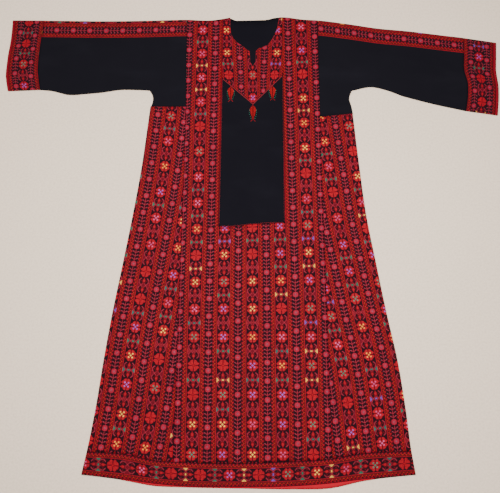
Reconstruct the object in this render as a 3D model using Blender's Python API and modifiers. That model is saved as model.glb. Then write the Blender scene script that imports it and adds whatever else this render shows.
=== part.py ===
"""Embroidered kaftan laid flat with its front up, as the pieces that its maker cuts and sews.

Sizes are in millimetres on the laid garment and become metres when a mesh is made. x is 0 on the
centre line and grows to the right as the garment is seen, y is 0 at the lowest point of the hem
and grows towards the neck, and z is the height over the floor. Every cloth piece is the middle
surface of a wall, which Solidify gives its thickness.
"""

from collections import namedtuple

import bpy
import numpy as np

MM = 0.001
OBJECT_NAME = "embroidered_kaftan"

# The point of the garment's plan that becomes the model's origin, on the floor
ORIGIN_X = 0.0
ORIGIN_Y = 688.5

# Cloth and seams
CLOTH = 1.5
FACING_CLOTH = 1.0
SEAM_GAP = 0.3
FOLD_RADIUS = 1.4
BACK_LEVEL = CLOTH / 2
FRONT_LEVEL = CLOTH + SEAM_GAP + CLOTH / 2
FACING_LEVEL = CLOTH + SEAM_GAP + FACING_CLOTH / 2

# How the upper layer swells beside a fold and over the facing
SWELL_WIDTH = 28.0
FACING_RISE = FACING_CLOTH + SEAM_GAP
FACING_RISE_FULL = 18.0
FACING_RISE_END = 36.0
FACING_TUCK = 14.0
FACING_LEFT = -350.0
FACING_RIGHT = 326.0

# Side folds from the hem's lower edge to the underarm
Fold = namedtuple("Fold", "y left right")
SIDE_FOLDS = [
    Fold(36, -457, 435),
    Fold(94, -445.5, 426.6),
    Fold(208, -427, 416),
    Fold(336, -411, 400),
    Fold(469, -392, 375),
    Fold(605, -369, 352),
    Fold(746, -346, 329),
    Fold(891, -325, 314),
    Fold(1041, -309, 301),
    Fold(1090, -304, 297),
]

# Seams between the front panel, or the back panel, and what is beside it
Seam = namedtuple("Seam", "y left right")
PANEL_SEAMS = [
    Seam(0, -214.8, 214.5),
    Seam(546, -206.9, 208.3),
    Seam(1083, -199.2, 202.2),
    Seam(1380, -201.8, 202.0),
]

# Chest window of the front panel, which the insert and the yoke fill
Window = namedtuple("Window", "y left right")
CHEST_WINDOW = [
    Window(700, -98, 93.8),
    Window(948, -94.6, 93.6),
    Window(1171, -91.8, 93.2),
    Window(1380, -89.5, 92.0),
]
WindowSill = namedtuple("WindowSill", "x y")
WINDOW_SILL = [
    WindowSill(-215, 714.5),
    WindowSill(-98, 714.7),
    WindowSill(-55, 716),
    WindowSill(0, 722),
    WindowSill(50, 726),
    WindowSill(215, 726.5),
]

# Hem band: its seam to the panels, the front's lower edge and the longer back's lower edge
Hem = namedtuple("Hem", "x seam front back")
HEM = [
    Hem(-457, 95, 37, 37),
    Hem(-347, 89, 26, 23),
    Hem(-259, 72, 14.5, 8),
    Hem(-201, 68.5, 9.5, 5.5),
    Hem(-27, 65.5, 6.5, 2),
    Hem(100, 70, 8, 0),
    Hem(211, 76.5, 16, 3),
    Hem(292, 90, 25.5, 20),
    Hem(435, 97, 36.5, 36.5),
]

# Upper edge: sleeve folds and shoulders, with the back's neckline between the neck points
Top = namedtuple("Top", "x y")
TOP_EDGE_LEFT = [
    Top(-746, 1366),
    Top(-600, 1364.5),
    Top(-450, 1363),
    Top(-330, 1364.5),
    Top(-202, 1368),
    Top(-120, 1367),
    Top(-67, 1376),
]
TOP_EDGE_RIGHT = [
    Top(72, 1377),
    Top(100, 1377),
    Top(150, 1370),
    Top(202, 1366),
    Top(297, 1353),
    Top(383, 1339),
    Top(481, 1329),
    Top(578, 1316),
    Top(676, 1303),
    Top(746, 1291),
]
BACK_NECK = [
    Top(-67, 1376),
    Top(-58, 1366.5),
    Top(0, 1367.5),
    Top(45, 1369),
    Top(72, 1377),
]

# Yoke: the V edge, and the neckline with its slit. rim is the matching place on the yoke's outer
# edge: -1 left shoulder, -V_END left end of the V, 0 its point, V_END its right end, 1 right shoulder
V_END = 0.5
V_LEFT_Y = 1177.0
V_POINT = (2.0, 1093.0)
V_RIGHT_Y = 1187.0
Neck = namedtuple("Neck", "rim x y")
NECKLINE = [
    Neck(-1.0, -67.6, 1376),
    Neck(-0.84, -67.3, 1345),
    Neck(-0.72, -65.5, 1324),
    Neck(-0.62, -58, 1306),
    Neck(-0.54, -50, 1297),
    Neck(-0.5, -43, 1290),
    Neck(-0.38, -30, 1281.5),
    Neck(-0.27, -17.7, 1270),
    Neck(-0.17, -8.2, 1263),
    Neck(-0.08, -6.7, 1231),
    Neck(0.0, 1.5, 1213),
    Neck(0.08, 10.5, 1231),
    Neck(0.17, 11.5, 1266),
    Neck(0.27, 19.5, 1273.5),
    Neck(0.38, 35, 1279),
    Neck(0.5, 47, 1285),
    Neck(0.54, 53, 1292),
    Neck(0.62, 63, 1308),
    Neck(0.72, 71, 1324),
    Neck(0.84, 77, 1345),
    Neck(1.0, 83, 1377),
]
YOKE_ACROSS = (0.0, 0.3, 0.6, 0.8, 0.9, 1.0)
YOKE_OVERLAP = 8.0
YOKE_RAISE = CLOTH + SEAM_GAP
YOKE_RAISE_FULL = 15.0
YOKE_RAISE_END = 32.0

PIPING_RADIUS = 1.1
PIPING_DROP = 2.6
PIPING_LIFT = 0.5
PIPING_END = 3.0
PIPING_POINTS = 10

# Cuffs: a row for each place from the upper fold (0) to the lower one (1)
Cuff = namedtuple("Cuff", "place inner_x inner_y outer_x outer_y")
CUFFS = {
    "left": [
        Cuff(0.0, -642, 1365.5, -737.7, 1366),
        Cuff(0.26, -647, 1306, -739.5, 1300),
        Cuff(0.55, -651, 1240, -745, 1240),
        Cuff(0.75, -650, 1195, -746, 1187),
        Cuff(0.92, -643, 1155, -741, 1154),
        Cuff(1.0, -640, 1138, -736, 1134),
    ],
    "right": [
        Cuff(0.0, 648, 1306.7, 746, 1291),
        Cuff(0.2, 647, 1262, 743, 1246),
        Cuff(0.44, 643.5, 1202, 739, 1192),
        Cuff(0.64, 651.5, 1155, 742.5, 1150),
        Cuff(0.83, 648, 1110, 739, 1098),
        Cuff(1.0, 640, 1070, 733, 1056),
    ],
}
BINDING_WIDTH = {"left": 6.0, "right": 8.0}
CUFF_WIDTH = 95.0

# Sleeves: a row for each section from the cuff to the underarm corner
Section = namedtuple("Section", "top_x low_x low_y")
SLEEVES = {
    "left": [
        Section(-642, -640, 1138),
        Section(-600, -602, 1134),
        Section(-550, -552, 1122),
        Section(-500, -500, 1125),
        Section(-450, -450, 1130),
        Section(-400, -398, 1138),
        Section(-350, -350, 1138),
        Section(-309, -309, 1136),
    ],
    "right": [
        Section(648, 640, 1070),
        Section(600, 596, 1080),
        Section(550, 548, 1091),
        Section(500, 500, 1104),
        Section(450, 452, 1118),
        Section(400, 410, 1135),
        Section(352, 358, 1147),
        Section(302, 299, 1135),
    ],
}
SECTION_STEP = 0.5
BULGE_SECTIONS = 2.0

# Underarm: the fold below the sleeve's corner, down to the gore
Underarm = namedtuple("Underarm", "y x")
UNDERARMS = {
    "left": [
        Underarm(1083.5, -303), Underarm(1095, -299), Underarm(1120, -299.5), Underarm(1136, -309),
    ],
    "right": [
        Underarm(1061, 300), Underarm(1085, 296), Underarm(1110, 290), Underarm(1135, 299),
    ],
}
UNDERARM_ROWS = (0.0, 0.3, 0.65, 1.0)

# Upper edge of each gore, straight from the fold to the panel's seam
GORE_TOPS = {"left": (1083.5, 1083.5), "right": (1061.0, 1051.5)}

# Grid lines of the pieces: distances from a fold, then counts of cells
FOLD_LINES = (0.0, 0.4 * FOLD_RADIUS, FOLD_RADIUS, 10.0, 30.0)
GORE_CELLS = 4
GORE_LINES = len(FOLD_LINES) + GORE_CELLS
RING_CELLS = 5
RING_HEIGHT = 235.0
STRIP_LINES = (0.0, 0.25, 0.5, 0.75, 1.0)
CENTRE_LINES = (0.0, 0.17, 0.34, 0.508, 0.67, 0.84, 1.0)
PANEL_LINES = 2 * len(STRIP_LINES) + len(CENTRE_LINES) - 2
WINDOW_FIRST = len(STRIP_LINES) - 1
WINDOW_LAST = WINDOW_FIRST + len(CENTRE_LINES) - 1
SKIRT_ROWS = 13
CHEST_ROWS = 11
GORE_ROWS = 18
BACK_ROWS = 12
INSERT_ROWS = 9
CUFF_LINES = (0.0, 0.35, 0.7, 1.0)
BAND_ROWS = (0.0, 0.28, 0.6, 1.0)
FACING_CELLS = 16

# Rough heights from which a grid's rows are settled, and how often they are
HEM_SEAM_Y = 65.5
SHOULDER_Y = 1366.0
SETTLE_REPEATS = 4

# Creases of the upper layer: the ridge's middle, its direction in degrees, its length, its
# half width and its height
Crease = namedtuple("Crease", "x y turn length width height")
CREASES = [
    Crease(-406, 1245, 27, 167, 15, 2.0),
    Crease(-316, 1216, 56, 70, 13, 1.6),
    Crease(-356, 1166, -67, 40, 10, 1.2),
    Crease(-560, 1268, 5, 130, 13, 1.4),
    Crease(-693, 1190, 2, 110, 12, 1.8),
    Crease(350, 1257, -6, 110, 13, 1.5),
    Crease(480, 1235, -13, 170, 15, 2.2),
    Crease(600, 1198, -33, 90, 13, 1.8),
    Crease(249, 1203, 37, 60, 12, 1.4),
    Crease(325, 1220, -6, 80, 12, 1.1),
    Crease(694, 1176, 12, 110, 12, 1.8),
    Crease(-63, 1025, 12, 60, 12, 0.9),
    Crease(22, 946, -21, 60, 12, 0.9),
    Crease(36, 804, 65, 70, 12, 1.1),
    Crease(-38, 751, 48, 60, 12, 0.9),
    Crease(-300, 520, 82, 420, 40, 1.3),
    Crease(-352, 260, 80, 260, 34, 1.1),
    Crease(-120, 380, 88, 360, 42, 1.0),
    Crease(40, 300, 93, 300, 40, 0.9),
    Crease(150, 560, 91, 380, 38, 1.0),
    Crease(290, 420, 98, 420, 40, 1.4),
    Crease(350, 180, 96, 170, 30, 1.0),
]

Finish = namedtuple("Finish", "color roughness")
BLACK_CLOTH = Finish((0.011, 0.010, 0.016), 0.92)
STITCHED_CLOTH = Finish((0.200, 0.018, 0.021), 0.80)
RED_CLOTH = Finish((0.430, 0.022, 0.033), 0.85)
RED_THREAD = Finish((0.260, 0.020, 0.028), 0.70)


def clear_scene():
    """Remove every object of the open file."""
    for thing in list(bpy.data.objects):
        bpy.data.objects.remove(thing, do_unlink=True)


def straight(rows, column, at):
    """Named column of a table at a place along its first column, straight between rows."""
    return np.interp(at, [row[0] for row in rows], [getattr(row, column) for row in rows])


def curve(rows, column, at):
    """Named column of a table at a place along its first column, on a smooth curve."""
    place = np.array([row[0] for row in rows], float)
    value = np.array([getattr(row, column) for row in rows], float)
    slope = np.gradient(value, place)
    at = np.clip(np.asarray(at, float), place[0], place[-1])
    low = np.clip(np.searchsorted(place, at, side="right") - 1, 0, len(place) - 2)
    span = place[low + 1] - place[low]
    u = (at - place[low]) / span
    start = value[low] * (1 + 2 * u) * (1 - u) ** 2 + slope[low] * span * u * (1 - u) ** 2
    end = value[low + 1] * u ** 2 * (3 - 2 * u) + slope[low + 1] * span * u ** 2 * (u - 1)
    return start + end


def fade(distance, start, end):
    """1 up to the start distance, 0 from the end distance on, and smooth between."""
    u = np.clip((np.asarray(distance, float) - start) / (end - start), 0, 1)
    return 1 - u * u * (3 - 2 * u)


def top_edge(x):
    """Upper edge of a sleeve or a shoulder at x."""
    x = np.asarray(x, float)
    return np.where(x < 0, curve(TOP_EDGE_LEFT, "y", x), curve(TOP_EDGE_RIGHT, "y", x))


def back_top_edge(x):
    """Upper edge of the back panel at x, with its shallow neckline."""
    x = np.asarray(x, float)
    inside = (x > BACK_NECK[0].x) & (x < BACK_NECK[-1].x)
    return np.where(inside, straight(BACK_NECK, "y", x), top_edge(x))


def v_edge(x, y):
    """Height on the plan of the yoke's V edge at x, for window sides taken at y."""
    left = straight(CHEST_WINDOW, "left", y)
    right = straight(CHEST_WINDOW, "right", y)
    return np.interp(x, [left, V_POINT[0], right], [V_LEFT_Y, V_POINT[1], V_RIGHT_Y])


def sleeve_section(side, place):
    """Upper and lower point of a sleeve's section, by its place in the table."""
    rows = SLEEVES[side]
    index = np.arange(len(rows))
    top_x = np.interp(place, index, [row.top_x for row in rows])
    low_x = np.interp(place, index, [row.low_x for row in rows])
    low_y = np.interp(place, index, [row.low_y for row in rows])
    return np.array([top_x, float(top_edge(top_x))]), np.array([low_x, low_y])


def distance_to_path(path, x, y):
    """Least distance on the plan from points to a line of straight runs."""
    best = np.full(np.shape(x), np.inf)
    for (ax, ay), (bx, by) in zip(path[:-1], path[1:]):
        dx, dy = bx - ax, by - ay
        length = dx * dx + dy * dy
        if length == 0:
            continue
        u = np.clip(((x - ax) * dx + (y - ay) * dy) / length, 0, 1)
        best = np.minimum(best, np.hypot(x - ax - u * dx, y - ay - u * dy))
    return best


def underarm_fold(side):
    """Points of the underarm fold at the rows of the sleeve's corner, from the corner down."""
    rows = UNDERARMS[side]
    heights = rows[-1].y + np.array(UNDERARM_ROWS) * (GORE_TOPS[side][0] - rows[-1].y)
    points = np.column_stack([curve(rows, "x", heights), heights])
    points[-1, 1] += SEAM_GAP / 2
    return points


def fold_path(side):
    """Folds of one half of the garment, through the pieces' own grid points on them."""
    places = ring_places()
    tube = sleeve_stations(side, places)
    cuff_end = cuff_line(side, np.array([0.0, 1.0]), 1.0)
    upper = [cuff_end[0]] + [line[0] for line in tube + body_stations(side, places)]
    lower = [cuff_end[1]] + [line[-1] for line in tube] + list(underarm_fold(side)[1:])
    gore_x, gore_y = gore_grid(side)
    body = list(np.column_stack([gore_x[::-1, 0], gore_y[::-1, 0]]))
    hem = (getattr(SIDE_FOLDS[0], side), HEM[0 if side == "left" else -1].front)
    return [np.array(upper), np.array(lower), np.array(body + [hem])]


def fold_distance(x, y):
    """Distance on the plan to the nearest fold of the garment."""
    return np.min([distance_to_path(path, x, y) for path in FOLD_PATHS], axis=0)


def crease_height(x, y):
    """Sum of the soft ridges at points of the plan."""
    total = np.zeros(np.shape(x))
    for crease in CREASES:
        turn = np.radians(crease.turn)
        along = (x - crease.x) * np.cos(turn) + (y - crease.y) * np.sin(turn)
        beside = (y - crease.y) * np.cos(turn) - (x - crease.x) * np.sin(turn)
        ends = np.exp(-((2 * along / crease.length) ** 4))
        total = total + crease.height * ends * np.exp(-((beside / crease.width) ** 2))
    return total


def front_height(x, y):
    """Middle of the upper cloth over the floor."""
    x, y = np.asarray(x, float), np.asarray(y, float)
    distance = fold_distance(x, y)
    inner = np.minimum(distance, FOLD_RADIUS)
    arch = np.sqrt(np.maximum(FOLD_RADIUS ** 2 - (FOLD_RADIUS - inner) ** 2, 0))
    folded = BACK_LEVEL + FOLD_RADIUS + arch
    swell = fade(distance, FOLD_RADIUS, SWELL_WIDTH)
    over_facing = fade(y - curve(HEM, "front", x), FACING_RISE_FULL, FACING_RISE_END)
    free = FRONT_LEVEL + FACING_RISE * over_facing + crease_height(x, y)
    return np.where(distance < FOLD_RADIUS, folded, swell * folded + (1 - swell) * free)


def back_height(x, y):
    """Middle of the lower cloth over the floor: flat but for the turn at a fold."""
    x, y = np.asarray(x, float), np.asarray(y, float)
    inner = np.minimum(fold_distance(x, y), FOLD_RADIUS)
    arch = np.sqrt(np.maximum(FOLD_RADIUS ** 2 - (FOLD_RADIUS - inner) ** 2, 0))
    return BACK_LEVEL + FOLD_RADIUS - arch


def gore_lines(side, fold, y):
    """x of a gore's grid lines, from the fold to the panel's seam, read at heights y."""
    inward = 1 if side == "left" else -1
    seam = curve(PANEL_SEAMS, side, y) - inward * SEAM_GAP / 2
    fixed = np.array(FOLD_LINES + (FOLD_LINES[-1],) * GORE_CELLS)
    share = np.array((0.0,) * len(FOLD_LINES) + tuple(range(1, GORE_CELLS + 1))) / GORE_CELLS
    return fold + inward * (fixed + share * (np.abs(seam - fold) - FOLD_LINES[-1]))


def ring_places():
    """Places of grid lines from the upper fold (0) to the lower one (1) of a flattened tube."""
    near = [line / RING_HEIGHT for line in FOLD_LINES]
    middle = list(np.linspace(near[-1], 1 - near[-1], RING_CELLS + 1)[1:-1])
    return np.array(near + middle + [1 - place for place in reversed(near)])


def material_for(name, finish):
    """A material of its own for one piece."""
    material = bpy.data.materials.new(name)
    material.use_nodes = True
    shader = material.node_tree.nodes["Principled BSDF"]
    shader.inputs["Base Color"].default_value = (*finish.color, 1.0)
    shader.inputs["Roughness"].default_value = finish.roughness
    shader.inputs["Metallic"].default_value = 0.0
    return material


def to_world(points):
    """Plan points in millimetres as points of the model in metres."""
    return (np.asarray(points, float) - (ORIGIN_X, ORIGIN_Y, 0.0)) * MM


def add_cloth(collection, name, faces, points, finish, thickness=CLOTH):
    """Object of one cloth piece: its middle surface with a wall of the cloth's thickness."""
    mesh = bpy.data.meshes.new(name)
    mesh.from_pydata([tuple(point) for point in to_world(points)], [], faces)
    mesh.validate()
    mesh.shade_smooth()
    mesh.materials.append(material_for(name, finish))
    piece = bpy.data.objects.new(name, mesh)
    collection.objects.link(piece)
    wall = piece.modifiers.new("wall", "SOLIDIFY")
    wall.thickness = thickness * MM
    wall.offset = 0.0
    wall.use_even_offset = True
    return piece


def grid_faces(numbers, cells):
    """Four-sided faces over a grid of point numbers, for the cells that are kept."""
    faces = []
    for row, column in zip(*np.nonzero(cells)):
        faces.append((
            int(numbers[row, column]), int(numbers[row, column + 1]),
            int(numbers[row + 1, column + 1]), int(numbers[row + 1, column]),
        ))
    return faces


def facing_up(faces, points):
    """Faces in the order that makes them look up, judged by their area on the plan."""
    plan = np.asarray(points)[:, :2]
    total = 0.0
    for face in faces:
        corner = plan[list(face)]
        ahead = np.roll(corner, -1, axis=0)
        total += float(np.sum(corner[:, 0] * ahead[:, 1] - ahead[:, 0] * corner[:, 1]))
    return faces if total > 0 else [tuple(reversed(face)) for face in faces]


def used_only(faces, points):
    """Faces and points without the points that no face uses."""
    used = sorted({number for face in faces for number in face})
    place = {number: index for index, number in enumerate(used)}
    return [tuple(place[number] for number in face) for face in faces], np.asarray(points)[used]


def single_layer(plan_x, plan_y, heights, cells=None):
    """Faces and points of a piece that lies in one layer."""
    rows, columns = plan_x.shape
    numbers = np.arange(rows * columns).reshape(rows, columns)
    kept = np.ones((rows - 1, columns - 1), bool) if cells is None else cells
    points = np.column_stack([plan_x.ravel(), plan_y.ravel(), heights.ravel()])
    return used_only(facing_up(grid_faces(numbers, kept), points), points)


def double_layer(front, back, folded, cells=None):
    """Faces and points of a piece that turns under itself at its folds.

    front and back hold x, y and height for each grid point; folded marks the grid points that
    lie on a fold, where the two layers share one point.
    """
    rows, columns = front.shape[:2]
    count = rows * columns
    front_numbers = np.arange(count).reshape(rows, columns)
    back_numbers = np.where(folded, front_numbers, front_numbers + count)
    kept = np.ones((rows - 1, columns - 1), bool) if cells is None else cells
    points = np.concatenate([front.reshape(count, 3), back.reshape(count, 3)])
    upper = facing_up(grid_faces(front_numbers, kept), points)
    lower = facing_up(grid_faces(back_numbers, kept), points)
    return used_only(upper + [tuple(reversed(face)) for face in lower], points)


def layered(plan_x, plan_y, cells=None, folded=None, back_y=None):
    """Double-layer piece whose two layers share one plan, but for another edge at the back."""
    lower_y = plan_y if back_y is None else back_y
    front = np.dstack([plan_x, plan_y, front_height(plan_x, plan_y)])
    back = np.dstack([plan_x, lower_y, back_height(plan_x, lower_y)])
    return double_layer(front, back, folded, cells)


def settled(column_x, row_y, start_y):
    """Grid points where lines x = column_x(y) meet rows y = row_y(x), by a few repeats."""
    plan_y = start_y
    for _ in range(SETTLE_REPEATS):
        plan_x = column_x(plan_y)
        plan_y = row_y(plan_x)
    return plan_x, plan_y


def gore_grid(side):
    """Plan of a gore: rows from the hem band's seam to the gore's upper edge."""
    fold_top, seam_top = GORE_TOPS[side]
    share = np.linspace(0, 1, GORE_ROWS + 1)[:, None]

    def column_x(y):
        return gore_lines(side, curve(SIDE_FOLDS, side, y), y)

    def row_y(x):
        fold = curve(SIDE_FOLDS, side, fold_top)
        seam = curve(PANEL_SEAMS, side, seam_top)
        top = fold_top + (seam_top - fold_top) * (x - fold) / (seam - fold) - SEAM_GAP / 2
        low = curve(HEM, "seam", x) + SEAM_GAP / 2
        return low + share * (top - low)

    start = np.repeat(HEM_SEAM_Y + share * (fold_top - HEM_SEAM_Y), GORE_LINES, axis=1)
    return settled(column_x, row_y, start)


def panel_x(y, with_window):
    """x of the front or back panel's grid points, each line's read at that point's own height."""
    gap = SEAM_GAP / 2
    inset = gap if with_window else 0.0
    seam_left = curve(PANEL_SEAMS, "left", y)[..., None] + gap
    seam_right = curve(PANEL_SEAMS, "right", y)[..., None] - gap
    window_left = straight(CHEST_WINDOW, "left", y)[..., None] - inset
    window_right = straight(CHEST_WINDOW, "right", y)[..., None] + inset
    strip, centre = np.array(STRIP_LINES), np.array(CENTRE_LINES[1:-1])
    every = np.concatenate([
        seam_left + strip * (window_left - seam_left),
        window_left + centre * (window_right - window_left),
        window_right + strip * (seam_right - window_right),
    ], axis=-1)
    return np.take_along_axis(every, np.arange(PANEL_LINES)[None, :, None], axis=2)[..., 0]


def build_front_panel(collection):
    """Embroidered front with the chest window left open to the shoulders."""
    low_share = np.linspace(0, 1, SKIRT_ROWS + 1)[:, None]
    high_share = np.linspace(0, 1, CHEST_ROWS + 1)[1:, None]

    def row_y(x):
        low = curve(HEM, "seam", x[:SKIRT_ROWS + 1]) + SEAM_GAP / 2
        sill_low = straight(WINDOW_SILL, "y", x[:SKIRT_ROWS + 1]) - SEAM_GAP / 2
        sill_high = straight(WINDOW_SILL, "y", x[SKIRT_ROWS + 1:]) - SEAM_GAP / 2
        skirt = low + low_share * (sill_low - low)
        chest = sill_high + high_share * (top_edge(x[SKIRT_ROWS + 1:]) - sill_high)
        return np.concatenate([skirt, chest])

    rows = SKIRT_ROWS + CHEST_ROWS + 1
    start = np.linspace(HEM_SEAM_Y, SHOULDER_Y, rows)[:, None] * np.ones((1, PANEL_LINES))
    plan_x, plan_y = settled(lambda y: panel_x(y, True), row_y, start)
    cells = np.ones((rows - 1, PANEL_LINES - 1), bool)
    cells[SKIRT_ROWS:, WINDOW_FIRST:WINDOW_LAST] = False
    faces, points = single_layer(plan_x, plan_y, front_height(plan_x, plan_y), cells)
    add_cloth(collection, "front_panel", faces, points, STITCHED_CLOTH)


def build_back_panel(collection):
    """Plain back, flat on the floor from the hem band to the shoulders and the neck."""
    share = np.linspace(0, 1, BACK_ROWS + 1)[:, None]

    def row_y(x):
        low = curve(HEM, "seam", x) + SEAM_GAP / 2
        return low + share * (back_top_edge(x) - low)

    start = np.repeat(HEM_SEAM_Y + share * (SHOULDER_Y - HEM_SEAM_Y), PANEL_LINES, axis=1)
    plan_x, plan_y = settled(lambda y: panel_x(y, False), row_y, start)
    heights = np.full(plan_x.shape, BACK_LEVEL)
    faces, points = single_layer(plan_x, plan_y, heights)
    add_cloth(collection, "back_panel", faces, points, BLACK_CLOTH)


def build_chest_insert(collection):
    """Plain insert from the window's sill to just under the yoke's V edge."""
    share = np.linspace(0, 1, INSERT_ROWS + 1)[:, None]
    sill = WINDOW_SILL[1].y

    def column_x(y):
        left = straight(CHEST_WINDOW, "left", y) + SEAM_GAP / 2
        right = straight(CHEST_WINDOW, "right", y) - SEAM_GAP / 2
        return left + np.array(CENTRE_LINES) * (right - left)

    def row_y(x):
        low = straight(WINDOW_SILL, "y", x) + SEAM_GAP / 2
        return low + share * (v_edge(x, V_LEFT_Y) + YOKE_OVERLAP - low)

    start = np.repeat(sill + share * (V_POINT[1] - sill), len(CENTRE_LINES), axis=1)
    plan_x, plan_y = settled(column_x, row_y, start)
    faces, points = single_layer(plan_x, plan_y, front_height(plan_x, plan_y))
    add_cloth(collection, "chest_insert", faces, points, BLACK_CLOTH)


def yoke_rim(place):
    """Point on the yoke's outer edge, by its place from -1 to 1."""
    side = "left" if place < 0 else "right"
    inward = 1 if side == "left" else -1
    corner_y = V_LEFT_Y if side == "left" else V_RIGHT_Y
    corner_x = straight(CHEST_WINDOW, side, corner_y) + inward * SEAM_GAP / 2
    share = abs(place) / V_END
    if share <= 1:
        point_x, point_y = V_POINT
        return (point_x + share * (corner_x - point_x), point_y + share * (corner_y - point_y))
    shoulder_x = straight(CHEST_WINDOW, side, TOP_EDGE_RIGHT[0].y)
    y = corner_y + (share - 1) * (float(top_edge(shoulder_x)) - corner_y)
    return (straight(CHEST_WINDOW, side, y) + inward * SEAM_GAP / 2, y)


def build_yoke(collection):
    """Neck piece from the neckline out to the window's sides and the V edge over the insert."""
    neck = np.array([(row.x, row.y) for row in NECKLINE], float)
    rim = np.array([yoke_rim(row.rim) for row in NECKLINE], float)
    share = np.array(YOKE_ACROSS)[:, None]
    plan_x = neck[:, 0] + share * (rim[:, 0] - neck[:, 0])
    plan_y = neck[:, 1] + share * (rim[:, 1] - neck[:, 1])
    v_path = [yoke_rim(-V_END), V_POINT, yoke_rim(V_END)]
    raised = fade(distance_to_path(v_path, plan_x, plan_y), YOKE_RAISE_FULL, YOKE_RAISE_END)
    heights = front_height(plan_x, plan_y) + YOKE_RAISE * raised
    faces, points = single_layer(plan_x, plan_y, heights)
    add_cloth(collection, "yoke", faces, points, STITCHED_CLOTH)


def build_yoke_piping(collection):
    """Thin cord that lies on the insert along the yoke's V edge."""
    left_end, right_end = yoke_rim(-V_END)[0] + PIPING_END, yoke_rim(V_END)[0] - PIPING_END
    left = np.linspace(left_end, V_POINT[0], PIPING_POINTS)
    right = np.linspace(V_POINT[0], right_end, PIPING_POINTS)[1:]
    x = np.concatenate([left, right])
    plan = np.column_stack([x, v_edge(x, V_LEFT_Y) - PIPING_DROP])
    heights = front_height(plan[:, 0], plan[:, 1]) + CLOTH / 2 + PIPING_LIFT + PIPING_RADIUS
    path = to_world(np.column_stack([plan, heights]))
    cord = bpy.data.curves.new("yoke_piping", "CURVE")
    cord.dimensions = "3D"
    cord.bevel_depth = PIPING_RADIUS * MM
    cord.bevel_resolution = 2
    cord.use_fill_caps = True
    spline = cord.splines.new("POLY")
    spline.points.add(len(path) - 1)
    for target, place in zip(spline.points, path):
        target.co = (*place, 1.0)
    cord.materials.append(material_for("yoke_piping", RED_THREAD))
    collection.objects.link(bpy.data.objects.new("yoke_piping", cord))


def build_side_gore(collection, side):
    """Flared side panel, from the front seam round the side fold to the back seam."""
    plan_x, plan_y = gore_grid(side)
    folded = np.zeros(plan_x.shape, bool)
    folded[:, 0] = True
    faces, points = layered(plan_x, plan_y, folded=folded)
    add_cloth(collection, f"side_gore_{side}", faces, points, STITCHED_CLOTH)


def cuff_line(side, place, share):
    """Points of a cuff at places round it, a share of the way from its inner to its outer edge."""
    rows = CUFFS[side]
    inner = np.column_stack([curve(rows, "inner_x", place), curve(rows, "inner_y", place)])
    outer = np.column_stack([curve(rows, "outer_x", place), curve(rows, "outer_y", place)])
    return inner + share * (outer - inner)


def build_cuff(collection, side):
    """Embroidered band round the sleeve's end, and the red binding on its outer edge."""
    places = ring_places()
    half_gap = SEAM_GAP / 2 / CUFF_WIDTH
    binding = BINDING_WIDTH[side] / CUFF_WIDTH
    spans = {
        f"cuff_{side}": (half_gap, 1 - binding - half_gap, CUFF_LINES),
        f"cuff_binding_{side}": (1 - binding + half_gap, 1.0, (0.0, 1.0)),
    }
    for name, (start, end, lines) in spans.items():
        grid = np.array([cuff_line(side, places, start + line * (end - start)) for line in lines])
        plan_x, plan_y = grid[..., 0], grid[..., 1]
        folded = np.zeros(plan_x.shape, bool)
        folded[:, 0] = folded[:, -1] = True
        faces, points = layered(plan_x, plan_y, folded=folded)
        finish = STITCHED_CLOTH if name == f"cuff_{side}" else RED_CLOTH
        add_cloth(collection, name, faces, points, finish)


def sleeve_stations(side, places):
    """Grid lines of the sleeve's tube from the cuff's seam to the underarm corner."""
    stations = []
    seam_line = cuff_line(side, places, -SEAM_GAP / 2 / CUFF_WIDTH)
    seam_straight = seam_line[0] + places[:, None] * (seam_line[-1] - seam_line[0])
    bulge = seam_line - seam_straight
    last = len(SLEEVES[side]) - 1
    for place in np.arange(0, last + SECTION_STEP / 2, SECTION_STEP):
        if place == 0:
            stations.append(seam_line)
            continue
        top, low = sleeve_section(side, place)
        keep = max(0.0, 1 - place / BULGE_SECTIONS)
        stations.append(top + places[:, None] * (low - top) + keep * bulge)
    return stations


def body_stations(side, places):
    """Grid lines of the sleeve's body end: above the corner's height, then below it."""
    rows = UNDERARMS[side]
    corner = rows[-1]
    fold_top, seam_top = GORE_TOPS[side]
    top_x = gore_lines(side, SLEEVES[side][-1].top_x, SHOULDER_Y)[1:]
    corner_x = gore_lines(side, corner.x, corner.y)[1:]
    heights = corner.y + np.array(UNDERARM_ROWS[1:]) * (fold_top - corner.y)
    below_x = np.array([gore_lines(side, curve(rows, "x", y), y)[1:] for y in heights])
    slant = (below_x[-1] - rows[0].x) / (curve(PANEL_SEAMS, side, seam_top) - rows[0].x)
    below_y = heights[:, None] + slant * (seam_top - fold_top) * np.array(UNDERARM_ROWS[1:])[:, None]
    below_y[-1] += SEAM_GAP / 2
    stations = []
    for column in range(GORE_LINES - 1):
        top = np.array([top_x[column], float(top_edge(top_x[column]))])
        ring = top + places[:, None] * (np.array([corner_x[column], corner.y]) - top)
        below = np.column_stack([below_x[:, column], below_y[:, column]])
        stations.append(np.concatenate([ring, below]))
    return stations


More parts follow.
